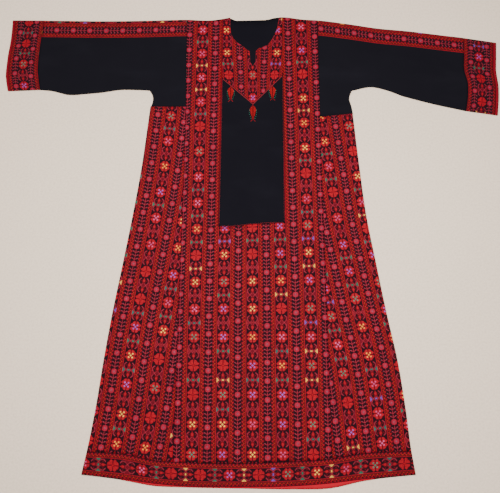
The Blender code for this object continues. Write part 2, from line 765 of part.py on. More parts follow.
def build_sleeve(collection, side):
    """Sleeve from the cuff to the body, folded along the top, with its underarm corner."""
    places = ring_places()
    tube = sleeve_stations(side, places)
    body = body_stations(side, places)
    corner_fold = underarm_fold(side)[1:]
    ring_count, extra = len(places), len(UNDERARM_ROWS) - 1
    padding = [np.repeat(line[-1:], extra, axis=0) for line in tube[:-1]]
    full = [np.concatenate([line, pad]) for line, pad in zip(tube[:-1], padding)]
    full.append(np.concatenate([tube[-1], corner_fold]))
    grid = np.array(full + body)
    plan_x, plan_y = grid[..., 0], grid[..., 1]
    corner_station = len(tube) - 1
    cells = np.ones((plan_x.shape[0] - 1, plan_x.shape[1] - 1), bool)
    cells[:corner_station, ring_count - 1:] = False
    folded = np.zeros(plan_x.shape, bool)
    folded[:, 0] = True
    folded[:corner_station + 1, ring_count - 1] = True
    folded[corner_station, ring_count - 1:] = True
    faces, points = layered(plan_x, plan_y, cells, folded)
    add_cloth(collection, f"sleeve_{side}", faces, points, BLACK_CLOTH)


def hem_seam_points():
    """Plan points along the hem band's seam, at every grid line of the panels above it."""
    left_x, left_y = gore_grid("left")
    right_x, right_y = gore_grid("right")
    middle = np.repeat(HEM_SEAM_Y, PANEL_LINES)[None, :]
    for _ in range(SETTLE_REPEATS):
        panel = panel_x(middle, False)
        middle = curve(HEM, "seam", panel)
    seam_x = np.concatenate([left_x[0], panel[0, 1:-1], right_x[0][::-1]])
    return seam_x, curve(HEM, "seam", seam_x) - SEAM_GAP / 2


def build_hem_band(collection):
    """Embroidered band round the bottom, longer at the back than at the front."""
    seam_x, seam_y = hem_seam_points()
    low_left, low_right = SIDE_FOLDS[0].left, SIDE_FOLDS[0].right
    from_left = seam_x - seam_x[0]
    from_right = seam_x[-1] - seam_x
    near = FOLD_LINES[-1]
    stretch = (low_right - low_left - 2 * near) / (seam_x[-1] - seam_x[0] - 2 * near)
    low_x = low_left + near + (from_left - near) * stretch
    low_x = np.where(from_left <= near, low_left + from_left, low_x)
    low_x = np.where(from_right <= near, low_right - from_right, low_x)
    share = np.array(BAND_ROWS)[:, None]
    front_low, back_low = curve(HEM, "front", low_x), curve(HEM, "back", low_x)
    plan_x = low_x + share * (seam_x - low_x)
    front_y = front_low + share * (seam_y - front_low)
    back_y = back_low + share * (seam_y - back_low)
    folded = np.zeros(plan_x.shape, bool)
    folded[:, 0] = folded[:, -1] = True
    faces, points = layered(plan_x, front_y, folded=folded, back_y=back_y)
    add_cloth(collection, "hem_band", faces, points, STITCHED_CLOTH)


def build_hem_facing(collection):
    """Red strip on the inner side of the back hem, tucked under the front."""
    x = np.linspace(FACING_LEFT, FACING_RIGHT, FACING_CELLS + 1)
    low, high = curve(HEM, "back", x), curve(HEM, "front", x) + FACING_TUCK
    plan_x = np.array([x, x])
    plan_y = np.array([low, high])
    heights = np.full(plan_x.shape, FACING_LEVEL)
    faces, points = single_layer(plan_x, plan_y, heights)
    add_cloth(collection, "hem_facing", faces, points, RED_CLOTH, FACING_CLOTH)


FOLD_PATHS = fold_path("left") + fold_path("right")


def main():
    """Build every piece of the kaftan in one collection."""
    clear_scene()
    collection = bpy.data.collections.new(OBJECT_NAME)
    bpy.context.scene.collection.children.link(collection)
    build_back_panel(collection)
    build_front_panel(collection)
    build_chest_insert(collection)
    build_yoke(collection)
    build_yoke_piping(collection)
    for side in ("left", "right"):
        build_side_gore(collection, side)
        build_sleeve(collection, side)
        build_cuff(collection, side)
    build_hem_band(collection)
    build_hem_facing(collection)


main()
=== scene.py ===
"""Embroidered kaftan laid flat: cloth, stitching, floor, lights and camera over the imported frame.

The plan of the garment is in millimetres: x is 0 on the centre line and grows to the right as the
garment is seen, y is 0 at the lowest point of the hem and grows towards the neck, and z is the
height over the floor. A mesh gets its metres when it is made. The map "stitches" of a cloth piece
counts cross-stitches across and along its embroidered strips.
"""

import logging
import math
from collections.abc import Callable, Sequence
from dataclasses import dataclass, field
from enum import Enum
from typing import Any, NamedTuple

import bpy
import numpy as np
from numpy.typing import NDArray
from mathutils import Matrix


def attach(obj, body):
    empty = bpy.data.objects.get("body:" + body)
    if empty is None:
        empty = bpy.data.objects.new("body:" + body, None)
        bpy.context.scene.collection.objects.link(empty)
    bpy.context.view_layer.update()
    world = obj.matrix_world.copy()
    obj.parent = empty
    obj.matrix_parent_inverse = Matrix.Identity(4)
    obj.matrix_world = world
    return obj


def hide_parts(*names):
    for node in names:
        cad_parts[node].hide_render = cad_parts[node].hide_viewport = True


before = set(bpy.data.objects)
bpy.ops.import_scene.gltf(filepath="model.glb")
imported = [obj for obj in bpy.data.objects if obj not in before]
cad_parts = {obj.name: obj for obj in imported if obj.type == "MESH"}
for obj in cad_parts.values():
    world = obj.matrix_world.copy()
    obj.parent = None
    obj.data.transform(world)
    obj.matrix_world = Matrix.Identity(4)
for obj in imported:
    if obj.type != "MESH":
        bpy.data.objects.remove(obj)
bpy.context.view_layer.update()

log = logging.getLogger("kaftan")

Array = NDArray[np.float64]
Color = tuple[float, float, float]

MM = 0.001
ORIGIN_Y = 688.5
CLOTH = 1.5
FACING_CLOTH = 1.0
SEAM_GAP = 0.3
FOLD_RADIUS = 1.4
STITCH = 2.03

# Sockets of the Mix node when it mixes colours.
MIX_FACTOR, MIX_LOW, MIX_HIGH, MIX_RESULT = 0, 6, 7, 2


class Side(Enum):
    """One of the garment's two sides, as it is seen."""

    LEFT = "left"
    RIGHT = "right"

    @property
    def inward(self) -> int:
        """Sign of x towards the centre line."""
        return 1 if self is Side.LEFT else -1


class Table:
    """Rows of named columns, read along the first one."""

    def __init__(self, names: str, *rows: Sequence[float]) -> None:
        """Keep the rows.

        Args:
            names: names of the columns, parted by spaces.
            rows: one row of numbers for each place.
        """
        self.rows = np.array(rows, float)
        self.place = self.rows[:, 0]
        self.columns = dict(zip(names.split(), self.rows.T))

    def straight(self, name: str, at: Any) -> Array:
        """Column at a place, straight between rows.

        Args:
            name: the column.
            at: places along the first column.

        Returns:
            The values there.
        """
        return np.interp(at, self.place, self.columns[name])

    def curve(self, name: str, at: Any) -> Array:
        """Column at a place, on a smooth curve through the rows.

        Args:
            name: the column.
            at: places along the first column.

        Returns:
            The values there.
        """
        place, value = self.place, self.columns[name]
        slope = np.gradient(value, place)
        at = np.clip(np.asarray(at, float), place[0], place[-1])
        low = np.clip(np.searchsorted(place, at, side="right") - 1, 0, len(place) - 2)
        span = place[low + 1] - place[low]
        u = (at - place[low]) / span
        start = value[low] * (1 + 2 * u) * (1 - u) ** 2 + slope[low] * span * u * (1 - u) ** 2
        end = value[low + 1] * u ** 2 * (3 - 2 * u) + slope[low + 1] * span * u ** 2 * (u - 1)
        return start + end


def fade(distance: Any, start: float, end: float) -> Array:
    """Weight that falls with distance.

    Args:
        distance: the distances.
        start: up to here it is 1.
        end: from here on it is 0.

    Returns:
        The weights, smooth between the two.
    """
    u = np.clip((np.asarray(distance, float) - start) / (end - start), 0, 1)
    return 1 - u * u * (3 - 2 * u)


def distance_to_path(path: Array, x: Array, y: Array) -> Array:
    """Least distance on the plan from points to a line of straight runs.

    Args:
        path: its points, one row each.
        x: places of the points across.
        y: places of the points along.

    Returns:
        The distances.
    """
    best = np.full(np.shape(x), np.inf)
    for (ax, ay), (bx, by) in zip(path[:-1], path[1:]):
        dx, dy = bx - ax, by - ay
        length = dx * dx + dy * dy
        if length < 1e-9:
            continue
        u = np.clip(((x - ax) * dx + (y - ay) * dy) / length, 0, 1)
        best = np.minimum(best, np.hypot(x - ax - u * dx, y - ay - u * dy))
    return best


def spread(start: float, end: float, cell: float) -> list[float]:
    """Even steps after the start, up to the end, near a wished cell size."""
    count = max(1, round(abs(end - start) / cell))
    return [start + (end - start) * step / count for step in range(1, count + 1)]


@dataclass
class Plan:
    """Outline of the laid garment on the floor, with the fine grid lines of its pieces."""

    cell: float = 8.0
    near: tuple[float, ...] = (0.0, 0.14, 0.5, 0.95, 1.4, 4.0, 9.0, 16.0, 24.0)
    gore_cells: int = 24
    gore_length: float = 1000.0
    gore_start: float = 90.0
    ring_cells: int = 26
    ring_height: float = 235.0
    hem_start: float = 65.5
    shoulder: float = 1366.0
    repeats: int = 4
    v_left: float = 1177.0
    v_point: tuple[float, float] = (2.0, 1093.0)
    v_right: float = 1187.0
    v_end: float = 0.5
    gore_tops: dict[Side, tuple[float, float]] = field(
        default_factory=lambda: {Side.LEFT: (1083.5, 1083.5), Side.RIGHT: (1061.0, 1051.5)})
    side_folds: Table = Table(
        "y left right",
        (36, -457, 435), (94, -445.5, 426.6), (208, -427, 416), (336, -411, 400), (469, -392, 375),
        (605, -369, 352), (746, -346, 329), (891, -325, 314), (1041, -309, 301), (1090, -304, 297))
    panel_seams: Table = Table(
        "y left right",
        (0, -214.8, 214.5), (546, -206.9, 208.3), (1083, -199.2, 202.2), (1380, -201.8, 202.0))
    window: Table = Table(
        "y left right",
        (700, -98, 93.8), (948, -94.6, 93.6), (1171, -91.8, 93.2), (1380, -89.5, 92.0))
    sill: Table = Table(
        "x y", (-215, 714.5), (-98, 714.7), (-55, 716), (0, 722), (50, 726), (215, 726.5))
    hem: Table = Table(
        "x seam front back",
        (-457, 95, 37, 37), (-347, 89, 26, 23), (-259, 72, 14.5, 8), (-201, 68.5, 9.5, 5.5),
        (-27, 65.5, 6.5, 2), (100, 70, 8, 0), (211, 76.5, 16, 3), (292, 90, 25.5, 20),
        (435, 97, 36.5, 36.5))
    top_left: Table = Table(
        "x y",
        (-746, 1366), (-600, 1364.5), (-450, 1363), (-330, 1364.5), (-202, 1368), (-120, 1367),
        (-67, 1376))
    top_right: Table = Table(
        "x y",
        (72, 1377), (100, 1377), (150, 1370), (202, 1366), (297, 1353), (383, 1339), (481, 1329),
        (578, 1316), (676, 1303), (746, 1291))
    back_neck: Table = Table(
        "x y", (-67, 1376), (-58, 1366.5), (0, 1367.5), (45, 1369), (72, 1377))
    neckline: Table = Table(
        "rim x y",
        (-1.0, -67.6, 1376), (-0.84, -67.3, 1345), (-0.72, -65.5, 1324), (-0.62, -58, 1306),
        (-0.54, -50, 1297), (-0.5, -43, 1290), (-0.38, -30, 1281.5), (-0.27, -17.7, 1270),
        (-0.17, -8.2, 1263), (-0.08, -6.7, 1231), (0.0, 1.5, 1213), (0.08, 10.5, 1231),
        (0.17, 11.5, 1266), (0.27, 19.5, 1273.5), (0.38, 35, 1279), (0.5, 47, 1285),
        (0.54, 53, 1292), (0.62, 63, 1308), (0.72, 71, 1324), (0.84, 77, 1345), (1.0, 83, 1377))
    cuffs: dict[Side, Table] = field(default_factory=lambda: {
        Side.LEFT: Table(
            "place inner_x inner_y outer_x outer_y",
            (0.0, -642, 1365.5, -737.7, 1366), (0.26, -647, 1306, -739.5, 1300),
            (0.55, -651, 1240, -745, 1240), (0.75, -650, 1195, -746, 1187),
            (0.92, -643, 1155, -741, 1154), (1.0, -640, 1138, -736, 1134)),
        Side.RIGHT: Table(
            "place inner_x inner_y outer_x outer_y",
            (0.0, 648, 1306.7, 746, 1291), (0.2, 647, 1262, 743, 1246),
            (0.44, 643.5, 1202, 739, 1192), (0.64, 651.5, 1155, 742.5, 1150),
            (0.83, 648, 1110, 739, 1098), (1.0, 640, 1070, 733, 1056)),
    })
    cuff_width: float = 95.0
    binding: dict[Side, float] = field(default_factory=lambda: {Side.LEFT: 6.0, Side.RIGHT: 8.0})
    sleeves: dict[Side, Table] = field(default_factory=lambda: {
        Side.LEFT: Table(
            "place top_x low_x low_y",
            (0, -642, -640, 1138), (1, -600, -602, 1134), (2, -550, -552, 1122),
            (3, -500, -500, 1125), (4, -450, -450, 1130), (5, -400, -398, 1138),
            (6, -350, -350, 1138), (7, -309, -309, 1136)),
        Side.RIGHT: Table(
            "place top_x low_x low_y",
            (0, 648, 640, 1070), (1, 600, 596, 1080), (2, 550, 548, 1091), (3, 500, 500, 1104),
            (4, 450, 452, 1118), (5, 400, 410, 1135), (6, 352, 358, 1147), (7, 302, 299, 1135)),
    })
    section_step: float = 0.175
    bulge_sections: float = 2.0
    underarms: dict[Side, Table] = field(default_factory=lambda: {
        Side.LEFT: Table("y x", (1083.5, -303), (1095, -299), (1120, -299.5), (1136, -309)),
        Side.RIGHT: Table("y x", (1061, 300), (1085, 296), (1110, 290), (1135, 299)),
    })
    underarm_rows: tuple[float, ...] = (0.0, 0.12, 0.25, 0.4, 0.55, 0.7, 0.85, 1.0)

    @property
    def gore_lines(self) -> int:
        """Number of grid lines from a fold to the panel's seam."""
        return len(self.near) + self.gore_cells

    def top(self, x: Any) -> Array:
        """Upper edge of a sleeve or a shoulder at x."""
        x = np.asarray(x, float)
        return np.where(x < 0, self.top_left.curve("y", x), self.top_right.curve("y", x))

    def back_top(self, x: Array) -> Array:
        """Upper edge of the back panel at x, with its shallow neckline."""
        inside = (x > self.back_neck.place[0]) & (x < self.back_neck.place[-1])
        return np.where(inside, self.back_neck.straight("y", x), self.top(x))

    def v_edge(self, x: Any) -> Array:
        """Place along the garment of the yoke's V edge at x."""
        left = self.window.straight("left", self.v_left)
        right = self.window.straight("right", self.v_left)
        point_x, point_y = self.v_point
        return np.interp(x, [left, point_x, right], [self.v_left, point_y, self.v_right])

    def lines_from_fold(self, side: Side, fold: Any, y: Any) -> Array:
        """x of a gore's grid lines, from the fold to the panel's seam.

        Args:
            side: the garment's side.
            fold: x of the fold, alone or for each line.
            y: height at which the seam is read, alone or for each line.

        Returns:
            One x for each line, along the last axis.
        """
        seam = self.panel_seams.curve(side.value, y) - side.inward * SEAM_GAP / 2
        fixed = np.array(self.near + (self.near[-1],) * self.gore_cells)
        share = np.array((0.0,) * len(self.near) + tuple(range(1, self.gore_cells + 1)))
        free = share / self.gore_cells * (np.abs(seam - fold) - self.near[-1])
        return fold + side.inward * (fixed + free)

    def settled(self, column_x: Callable[[Array], Array], row_y: Callable[[Array], Array],
                start: Array) -> tuple[Array, Array]:
        """Grid points where lines x = column_x(y) meet rows y = row_y(x).

        Args:
            column_x: x of the lines at given heights.
            row_y: y of the rows at given x.
            start: a first guess of y.

        Returns:
            x and y of the grid points.
        """
        y = start
        for _ in range(self.repeats):
            x = column_x(y)
            y = row_y(x)
        return x, y

    def gore_grid(self, side: Side) -> tuple[Array, Array]:
        """Plan of a gore, row by row from the hem band's seam up."""
        fold_top, seam_top = self.gore_tops[side]
        share = np.array([0.0] + spread(0, 1, self.cell / self.gore_length))[:, None]

        def row_y(x: Array) -> Array:
            fold = self.side_folds.curve(side.value, fold_top)
            seam = self.panel_seams.curve(side.value, seam_top)
            top = fold_top + (seam_top - fold_top) * (x - fold) / (seam - fold) - SEAM_GAP / 2
            low = self.hem.curve("seam", x) + SEAM_GAP / 2
            return low + share * (top - low)

        rise = share * (fold_top - self.gore_start)
        start = np.repeat(self.gore_start + rise, self.gore_lines, axis=1)
        return self.settled(
            lambda y: self.lines_from_fold(side, self.side_folds.curve(side.value, y), y),
            row_y, start)

    def panel_x(self, y: Array, strip: Array, centre: Array, inset: float) -> Array:
        """x of a panel's grid points, each line's read at that point's own height.

        Args:
            y: heights of the grid points.
            strip: shares of the lines across a strip beside the window.
            centre: shares of the lines across the window, without its edges.
            inset: how far the strips stay off the window's edges.

        Returns:
            x of the grid points.
        """
        gap = SEAM_GAP / 2
        seam_left = self.panel_seams.curve("left", y)[..., None] + gap
        seam_right = self.panel_seams.curve("right", y)[..., None] - gap
        window_left = self.window.straight("left", y)[..., None] - inset
        window_right = self.window.straight("right", y)[..., None] + inset
        every = np.concatenate([
            seam_left + strip * (window_left - seam_left),
            window_left + centre * (window_right - window_left),
            window_right + strip * (seam_right - window_right),
        ], axis=-1)
        lines = 2 * len(strip) + len(centre)
        return np.take_along_axis(every, np.arange(lines)[None, :, None], axis=2)[..., 0]

    def ring_places(self) -> Array:
        """Places of grid lines from the upper fold (0) to the lower one (1) of a flat tube."""
        near = [line / self.ring_height for line in self.near]
        middle = list(np.linspace(near[-1], 1 - near[-1], self.ring_cells + 1)[1:-1])
        return np.array(near + middle + [1 - place for place in reversed(near)])

    def cuff_line(self, side: Side, place: Array, share: float) -> Array:
        """Points round a cuff.

        Args:
            side: the garment's side.
            place: places round it, from the upper fold (0) to the lower one (1).
            share: 0 at the cuff's inner edge, 1 at its outer one.

        Returns:
            One point a row.
        """
        rows = self.cuffs[side]
        inner = np.column_stack([rows.curve("inner_x", place), rows.curve("inner_y", place)])
        outer = np.column_stack([rows.curve("outer_x", place), rows.curve("outer_y", place)])
        return inner + share * (outer - inner)

    def sleeve_stations(self, side: Side) -> list[Array]:
        """Grid lines of the sleeve's tube from the cuff's seam to the underarm corner."""
        places = self.ring_places()
        rows = self.sleeves[side]
        seam_line = self.cuff_line(side, places, -SEAM_GAP / 2 / self.cuff_width)
        bulge = seam_line - (seam_line[0] + places[:, None] * (seam_line[-1] - seam_line[0]))
        stations = [seam_line]
        for place in spread(0, float(rows.place[-1]), self.section_step):
            top_x = float(rows.straight("top_x", place))
            top = np.array([top_x, float(self.top(top_x))])
            low = np.array([rows.straight("low_x", place), rows.curve("low_y", place)])
            keep = max(0.0, 1 - place / self.bulge_sections)
            stations.append(top + places[:, None] * (low - top) + keep * bulge)
        return stations

    def underarm_fold(self, side: Side) -> Array:
        """Points of the underarm fold, from the sleeve's corner down to the gore."""
        rows = self.underarms[side]
        top = rows.place[-1]
        heights = top + np.array(self.underarm_rows) * (self.gore_tops[side][0] - top)
        points = np.column_stack([rows.curve("x", heights), heights])
        points[-1, 1] += SEAM_GAP / 2
        return points

    def body_stations(self, side: Side) -> list[Array]:
        """Grid lines of the sleeve's body end, from its upper edge down to the gore."""
        places = self.ring_places()
        rows = self.underarms[side]
        corner_y = float(rows.place[-1])
        corner_x = float(rows.columns["x"][-1])
        fold_top, seam_top = self.gore_tops[side]
        last_x = float(self.sleeves[side].columns["top_x"][-1])
        top_x = self.lines_from_fold(side, last_x, self.shoulder)[1:]
        low_x = self.lines_from_fold(side, corner_x, corner_y)[1:]
        share = np.array(self.underarm_rows[1:])
        heights = corner_y + share * (fold_top - corner_y)
        below_x = np.array([
            self.lines_from_fold(side, float(rows.curve("x", y)), y)[1:] for y in heights])
        seam = self.panel_seams.curve(side.value, seam_top)
        slant = (below_x[-1] - rows.columns["x"][0]) / (seam - rows.columns["x"][0])
        below_y = heights[:, None] + slant * (seam_top - fold_top) * share[:, None]
        below_y[-1] += SEAM_GAP / 2
        stations = []
        for column in range(self.gore_lines - 1):
            top = np.array([top_x[column], float(self.top(top_x[column]))])
            ring = top + places[:, None] * (np.array([low_x[column], corner_y]) - top)
            stations.append(np.concatenate(
                [ring, np.column_stack([below_x[:, column], below_y[:, column]])]))
        return stations

    def yoke_rim(self, place: float) -> tuple[float, float]:
        """Point on the yoke's outer edge, by its place from -1 to 1."""
        side = Side.LEFT if place < 0 else Side.RIGHT
        corner_y = self.v_left if side is Side.LEFT else self.v_right
        inset = side.inward * SEAM_GAP / 2
        corner_x = float(self.window.straight(side.value, corner_y)) + inset
        share = abs(place) / self.v_end
        point_x, point_y = self.v_point
        if share <= 1:
            return point_x + share * (corner_x - point_x), point_y + share * (corner_y - point_y)
        shoulder_x = self.window.straight(side.value, self.top_right.columns["y"][0])
        y = corner_y + (share - 1) * (float(self.top(shoulder_x)) - corner_y)
        return float(self.window.straight(side.value, y)) + inset, y

    def neck_and_rim(self, count: int) -> tuple[Array, Array]:
        """Points along the neckline, and the points of the yoke's outer edge across from them.

        Args:
            count: how many of each.

        Returns:
            The neckline's points and the edge's, one a row.
        """
        rows = self.neckline.rows
        index = np.linspace(0, len(rows) - 1, count)
        place, x, y = (np.interp(index, np.arange(len(rows)), column) for column in rows.T)
        return np.column_stack([x, y]), np.array([self.yoke_rim(float(one)) for one in place])

    def fold_paths(self) -> list[Array]:
        """Folds of the whole garment, through the pieces' own grid points on them."""
        paths = []
        for side in Side:
            tube, body = self.sleeve_stations(side), self.body_stations(side)
            end = self.cuff_line(side, np.array([0.0, 1.0]), 1.0)
            paths.append(np.array([end[0]] + [line[0] for line in tube + body]))
            corner = list(self.underarm_fold(side)[1:])
            paths.append(np.array([end[1]] + [line[-1] for line in tube] + corner))
            gore_x, gore_y = self.gore_grid(side)
            hem_y = self.hem.columns["front"][0 if side is Side.LEFT else -1]
            hem = [float(self.side_folds.columns[side.value][0]), hem_y]
            gore = list(np.column_stack([gore_x[::-1, 0], gore_y[::-1, 0]]))
            paths.append(np.array(gore + [hem]))
        return paths


@dataclass
class Relief:
    """Heights of the upper and the lower cloth over the floor, with the soft creases."""

    plan: Plan
    back_level: float = CLOTH / 2
    front_level: float = CLOTH + SEAM_GAP + CLOTH / 2
    swell_width: float = 28.0
    facing_rise: float = FACING_CLOTH + SEAM_GAP
    facing_full: float = 18.0
    facing_end: float = 36.0
    creases: Table = Table(
        "x y turn length width height",
        (-406, 1245, 27, 167, 15, 2.0), (-316, 1216, 56, 70, 13, 1.6),
        (-356, 1166, -67, 40, 10, 1.2), (-560, 1268, 5, 130, 13, 1.4),
        (-693, 1190, 2, 110, 12, 1.8), (350, 1257, -6, 110, 13, 1.5),
        (480, 1235, -13, 170, 15, 2.2), (600, 1198, -33, 90, 13, 1.8),
        (249, 1203, 37, 60, 12, 1.4), (325, 1220, -6, 80, 12, 1.1),
        (694, 1176, 12, 110, 12, 1.8), (-63, 1025, 12, 60, 12, 0.9),
        (22, 946, -21, 60, 12, 0.9), (36, 804, 65, 70, 12, 1.1), (-38, 751, 48, 60, 12, 0.9),
        (-300, 520, 82, 420, 40, 1.3), (-352, 260, 80, 260, 34, 1.1),
        (-120, 380, 88, 360, 42, 1.0), (40, 300, 93, 300, 40, 0.9),
        (150, 560, 91, 380, 38, 1.0), (290, 420, 98, 420, 40, 1.4),
        (350, 180, 96, 170, 30, 1.0))
    paths: list[Array] = field(default_factory=list)

    def __post_init__(self) -> None:
        """Trace the folds."""
        self.paths = self.plan.fold_paths()

    def fold_distance(self, x: Array, y: Array) -> Array:
        """Distance on the plan to the nearest fold."""
        return np.min([distance_to_path(path, x, y) for path in self.paths], axis=0)

    def crease(self, x: Array, y: Array) -> Array:
        """Height of the soft ridges at points of the plan."""
        total = np.zeros(np.shape(x))
        for middle_x, middle_y, degrees, length, width, height in self.creases.rows:
            turn = math.radians(degrees)
            along = (x - middle_x) * math.cos(turn) + (y - middle_y) * math.sin(turn)
            beside = (y - middle_y) * math.cos(turn) - (x - middle_x) * math.sin(turn)
            ends = np.exp(-((2 * along / length) ** 4))
            total = total + height * ends * np.exp(-((beside / width) ** 2))
        return total

    def arch(self, distance: Array) -> Array:
        """Height that the turn of a fold gives at a distance from it."""
        inner = np.minimum(distance, FOLD_RADIUS)
        return np.sqrt(np.maximum(FOLD_RADIUS ** 2 - (FOLD_RADIUS - inner) ** 2, 0))

    def front(self, x: Any, y: Any) -> Array:
        """Middle of the upper cloth over the floor."""
        x, y = np.asarray(x, float), np.asarray(y, float)
        distance = self.fold_distance(x, y)
        folded = self.back_level + FOLD_RADIUS + self.arch(distance)
        swell = fade(distance, FOLD_RADIUS, self.swell_width)
        over = fade(y - self.plan.hem.curve("front", x), self.facing_full, self.facing_end)
        free = self.front_level + self.facing_rise * over + self.crease(x, y)
        return np.where(distance < FOLD_RADIUS, folded, swell * folded + (1 - swell) * free)

    def back(self, x: Any, y: Any) -> Array:
        """Middle of the lower cloth over the floor, flat but for the turn at a fold."""
        x, y = np.asarray(x, float), np.asarray(y, float)
        return self.back_level + FOLD_RADIUS - self.arch(self.fold_distance(x, y))


class Shape(NamedTuple):
    """Faces, points and map places of a cloth's middle surface."""

    faces: list[tuple[int, ...]]
    points: Array
    places: list[tuple[float, float]]


def layer(numbers: Array, x: Array, y: Array, mapped: Array, kept: Array,
          up: bool) -> tuple[list[tuple[int, ...]], list[tuple[float, float]]]:
    """Four-sided faces over a grid.

    Args:
        numbers: point number of each grid point.
        x: place of each grid point across.
        y: place of each grid point along.
        mapped: map place of each grid point, along the last axis.
        kept: which cells get a face.
        up: whether the faces look up.

    Returns:
        The faces, and a map place for each of their corners.
    """
    first = (x[:-1, 1:] - x[:-1, :-1]) * (y[1:, :-1] - y[:-1, :-1])
    second = (y[:-1, 1:] - y[:-1, :-1]) * (x[1:, :-1] - x[:-1, :-1])
    looks_up = float(np.sum((first - second)[kept])) > 0
    faces, places = [], []
    for row, column in zip(*np.nonzero(kept)):
        ring = [(row, column), (row, column + 1), (row + 1, column + 1), (row + 1, column)]
        if looks_up != up:
            ring.reverse()
        faces.append(tuple(int(numbers[place]) for place in ring))
        places.extend((float(mapped[place][0]), float(mapped[place][1])) for place in ring)
    return faces, places


def used_only(faces: list[tuple[int, ...]], points: Array,
              places: list[tuple[float, float]]) -> Shape:
    """Shape without the points that no face uses."""
    used = np.unique([number for face in faces for number in face])
    renumber = np.full(len(points), -1)
    renumber[used] = np.arange(len(used))
    kept = [tuple(int(renumber[number]) for number in face) for face in faces]
    return Shape(kept, points[used], places)


def metres(points: Array) -> Array:
    """Plan points in millimetres as points of the model in metres."""
    return (np.asarray(points, float) - (0.0, ORIGIN_Y, 0.0)) * MM


def math_method(operation: str, swapped: bool = False) -> Callable[..., "Value"]:
    """Method of a number that adds one Math node.

    Args:
        operation: what the node does.
        swapped: whether the number itself comes last.

    Returns:
        The method.
    """
    def method(number: "Value", *others: "Value | float") -> "Value":
        given = (*others, number) if swapped else (number, *others)
        return number.shader.math(operation, *given)

    return method


class Value:
    """A number of a material, which adds its Math nodes as it is reckoned with."""

    __add__ = __radd__ = math_method("ADD")
    __sub__ = math_method("SUBTRACT")
    __rsub__ = math_method("SUBTRACT", swapped=True)
    __mul__ = __rmul__ = math_method("MULTIPLY")
    __truediv__ = math_method("DIVIDE")
    __rpow__ = math_method("POWER", swapped=True)
    __mod__ = math_method("FLOORED_MODULO")
    __gt__ = math_method("GREATER_THAN")
    __lt__ = math_method("LESS_THAN")
    __abs__ = math_method("ABSOLUTE")
    floor = math_method("FLOOR")
    larger = math_method("MAXIMUM")

    def __init__(self, shader: "Shader", socket: bpy.types.NodeSocket) -> None:
        """Wrap a socket.

        Args:
            shader: the material's node builder.
            socket: the output that gives the number.
        """
        self.shader = shader
        self.socket = socket

    def choose(self, low: "Value | float", high: "Value | float") -> "Value":
        """One value where this is 0 and another where it is 1."""
        return low + self * (high - low)


class NodeBuilder:
    """Adds nodes to a tree."""

    def __init__(self, tree: bpy.types.NodeTree) -> None:
        """Keep the tree.

        Args:
            tree: the tree that gets the nodes.
        """
        self.tree = tree

    def node(self, kind: str, settings: dict[str, Any] | None = None,
             inputs: dict[int | str, Any] | None = None) -> bpy.types.Node:
        """Add a node.

        Args:
            kind: its type.
            settings: its settings; "stops" are a ramp's places and colours.
            inputs: a value or a link for each socket, by name or number.

        Returns:
            The node.
        """
        node = self.tree.nodes.new(kind)
        for key, setting in (settings or {}).items():
            if key == "stops":
                self.set_stops(node.color_ramp, setting)
            else:
                setattr(node, key, setting)
        for key, given in (inputs or {}).items():
            self.feed(node.inputs[key], given)
        return node

    def set_stops(self, ramp: bpy.types.ColorRamp, stops: Sequence[tuple[float, Color]]) -> None:
        """Give a ramp its stops, each held until the next."""
        ramp.interpolation = "CONSTANT"
        while len(ramp.elements) < len(stops):
            ramp.elements.new(1.0)
        for element, (place, _) in zip(ramp.elements, stops):
            element.position = place
        for element, (_, color) in zip(ramp.elements, stops):
            element.color = (*color, 1.0)

    def feed(self, socket: bpy.types.NodeSocket, given: Any) -> None:
        """Link or set one socket."""
        if isinstance(given, Value):
            given = given.socket
        if isinstance(given, bpy.types.NodeSocket):
            self.tree.links.new(given, socket)
        else:
            socket.default_value = given


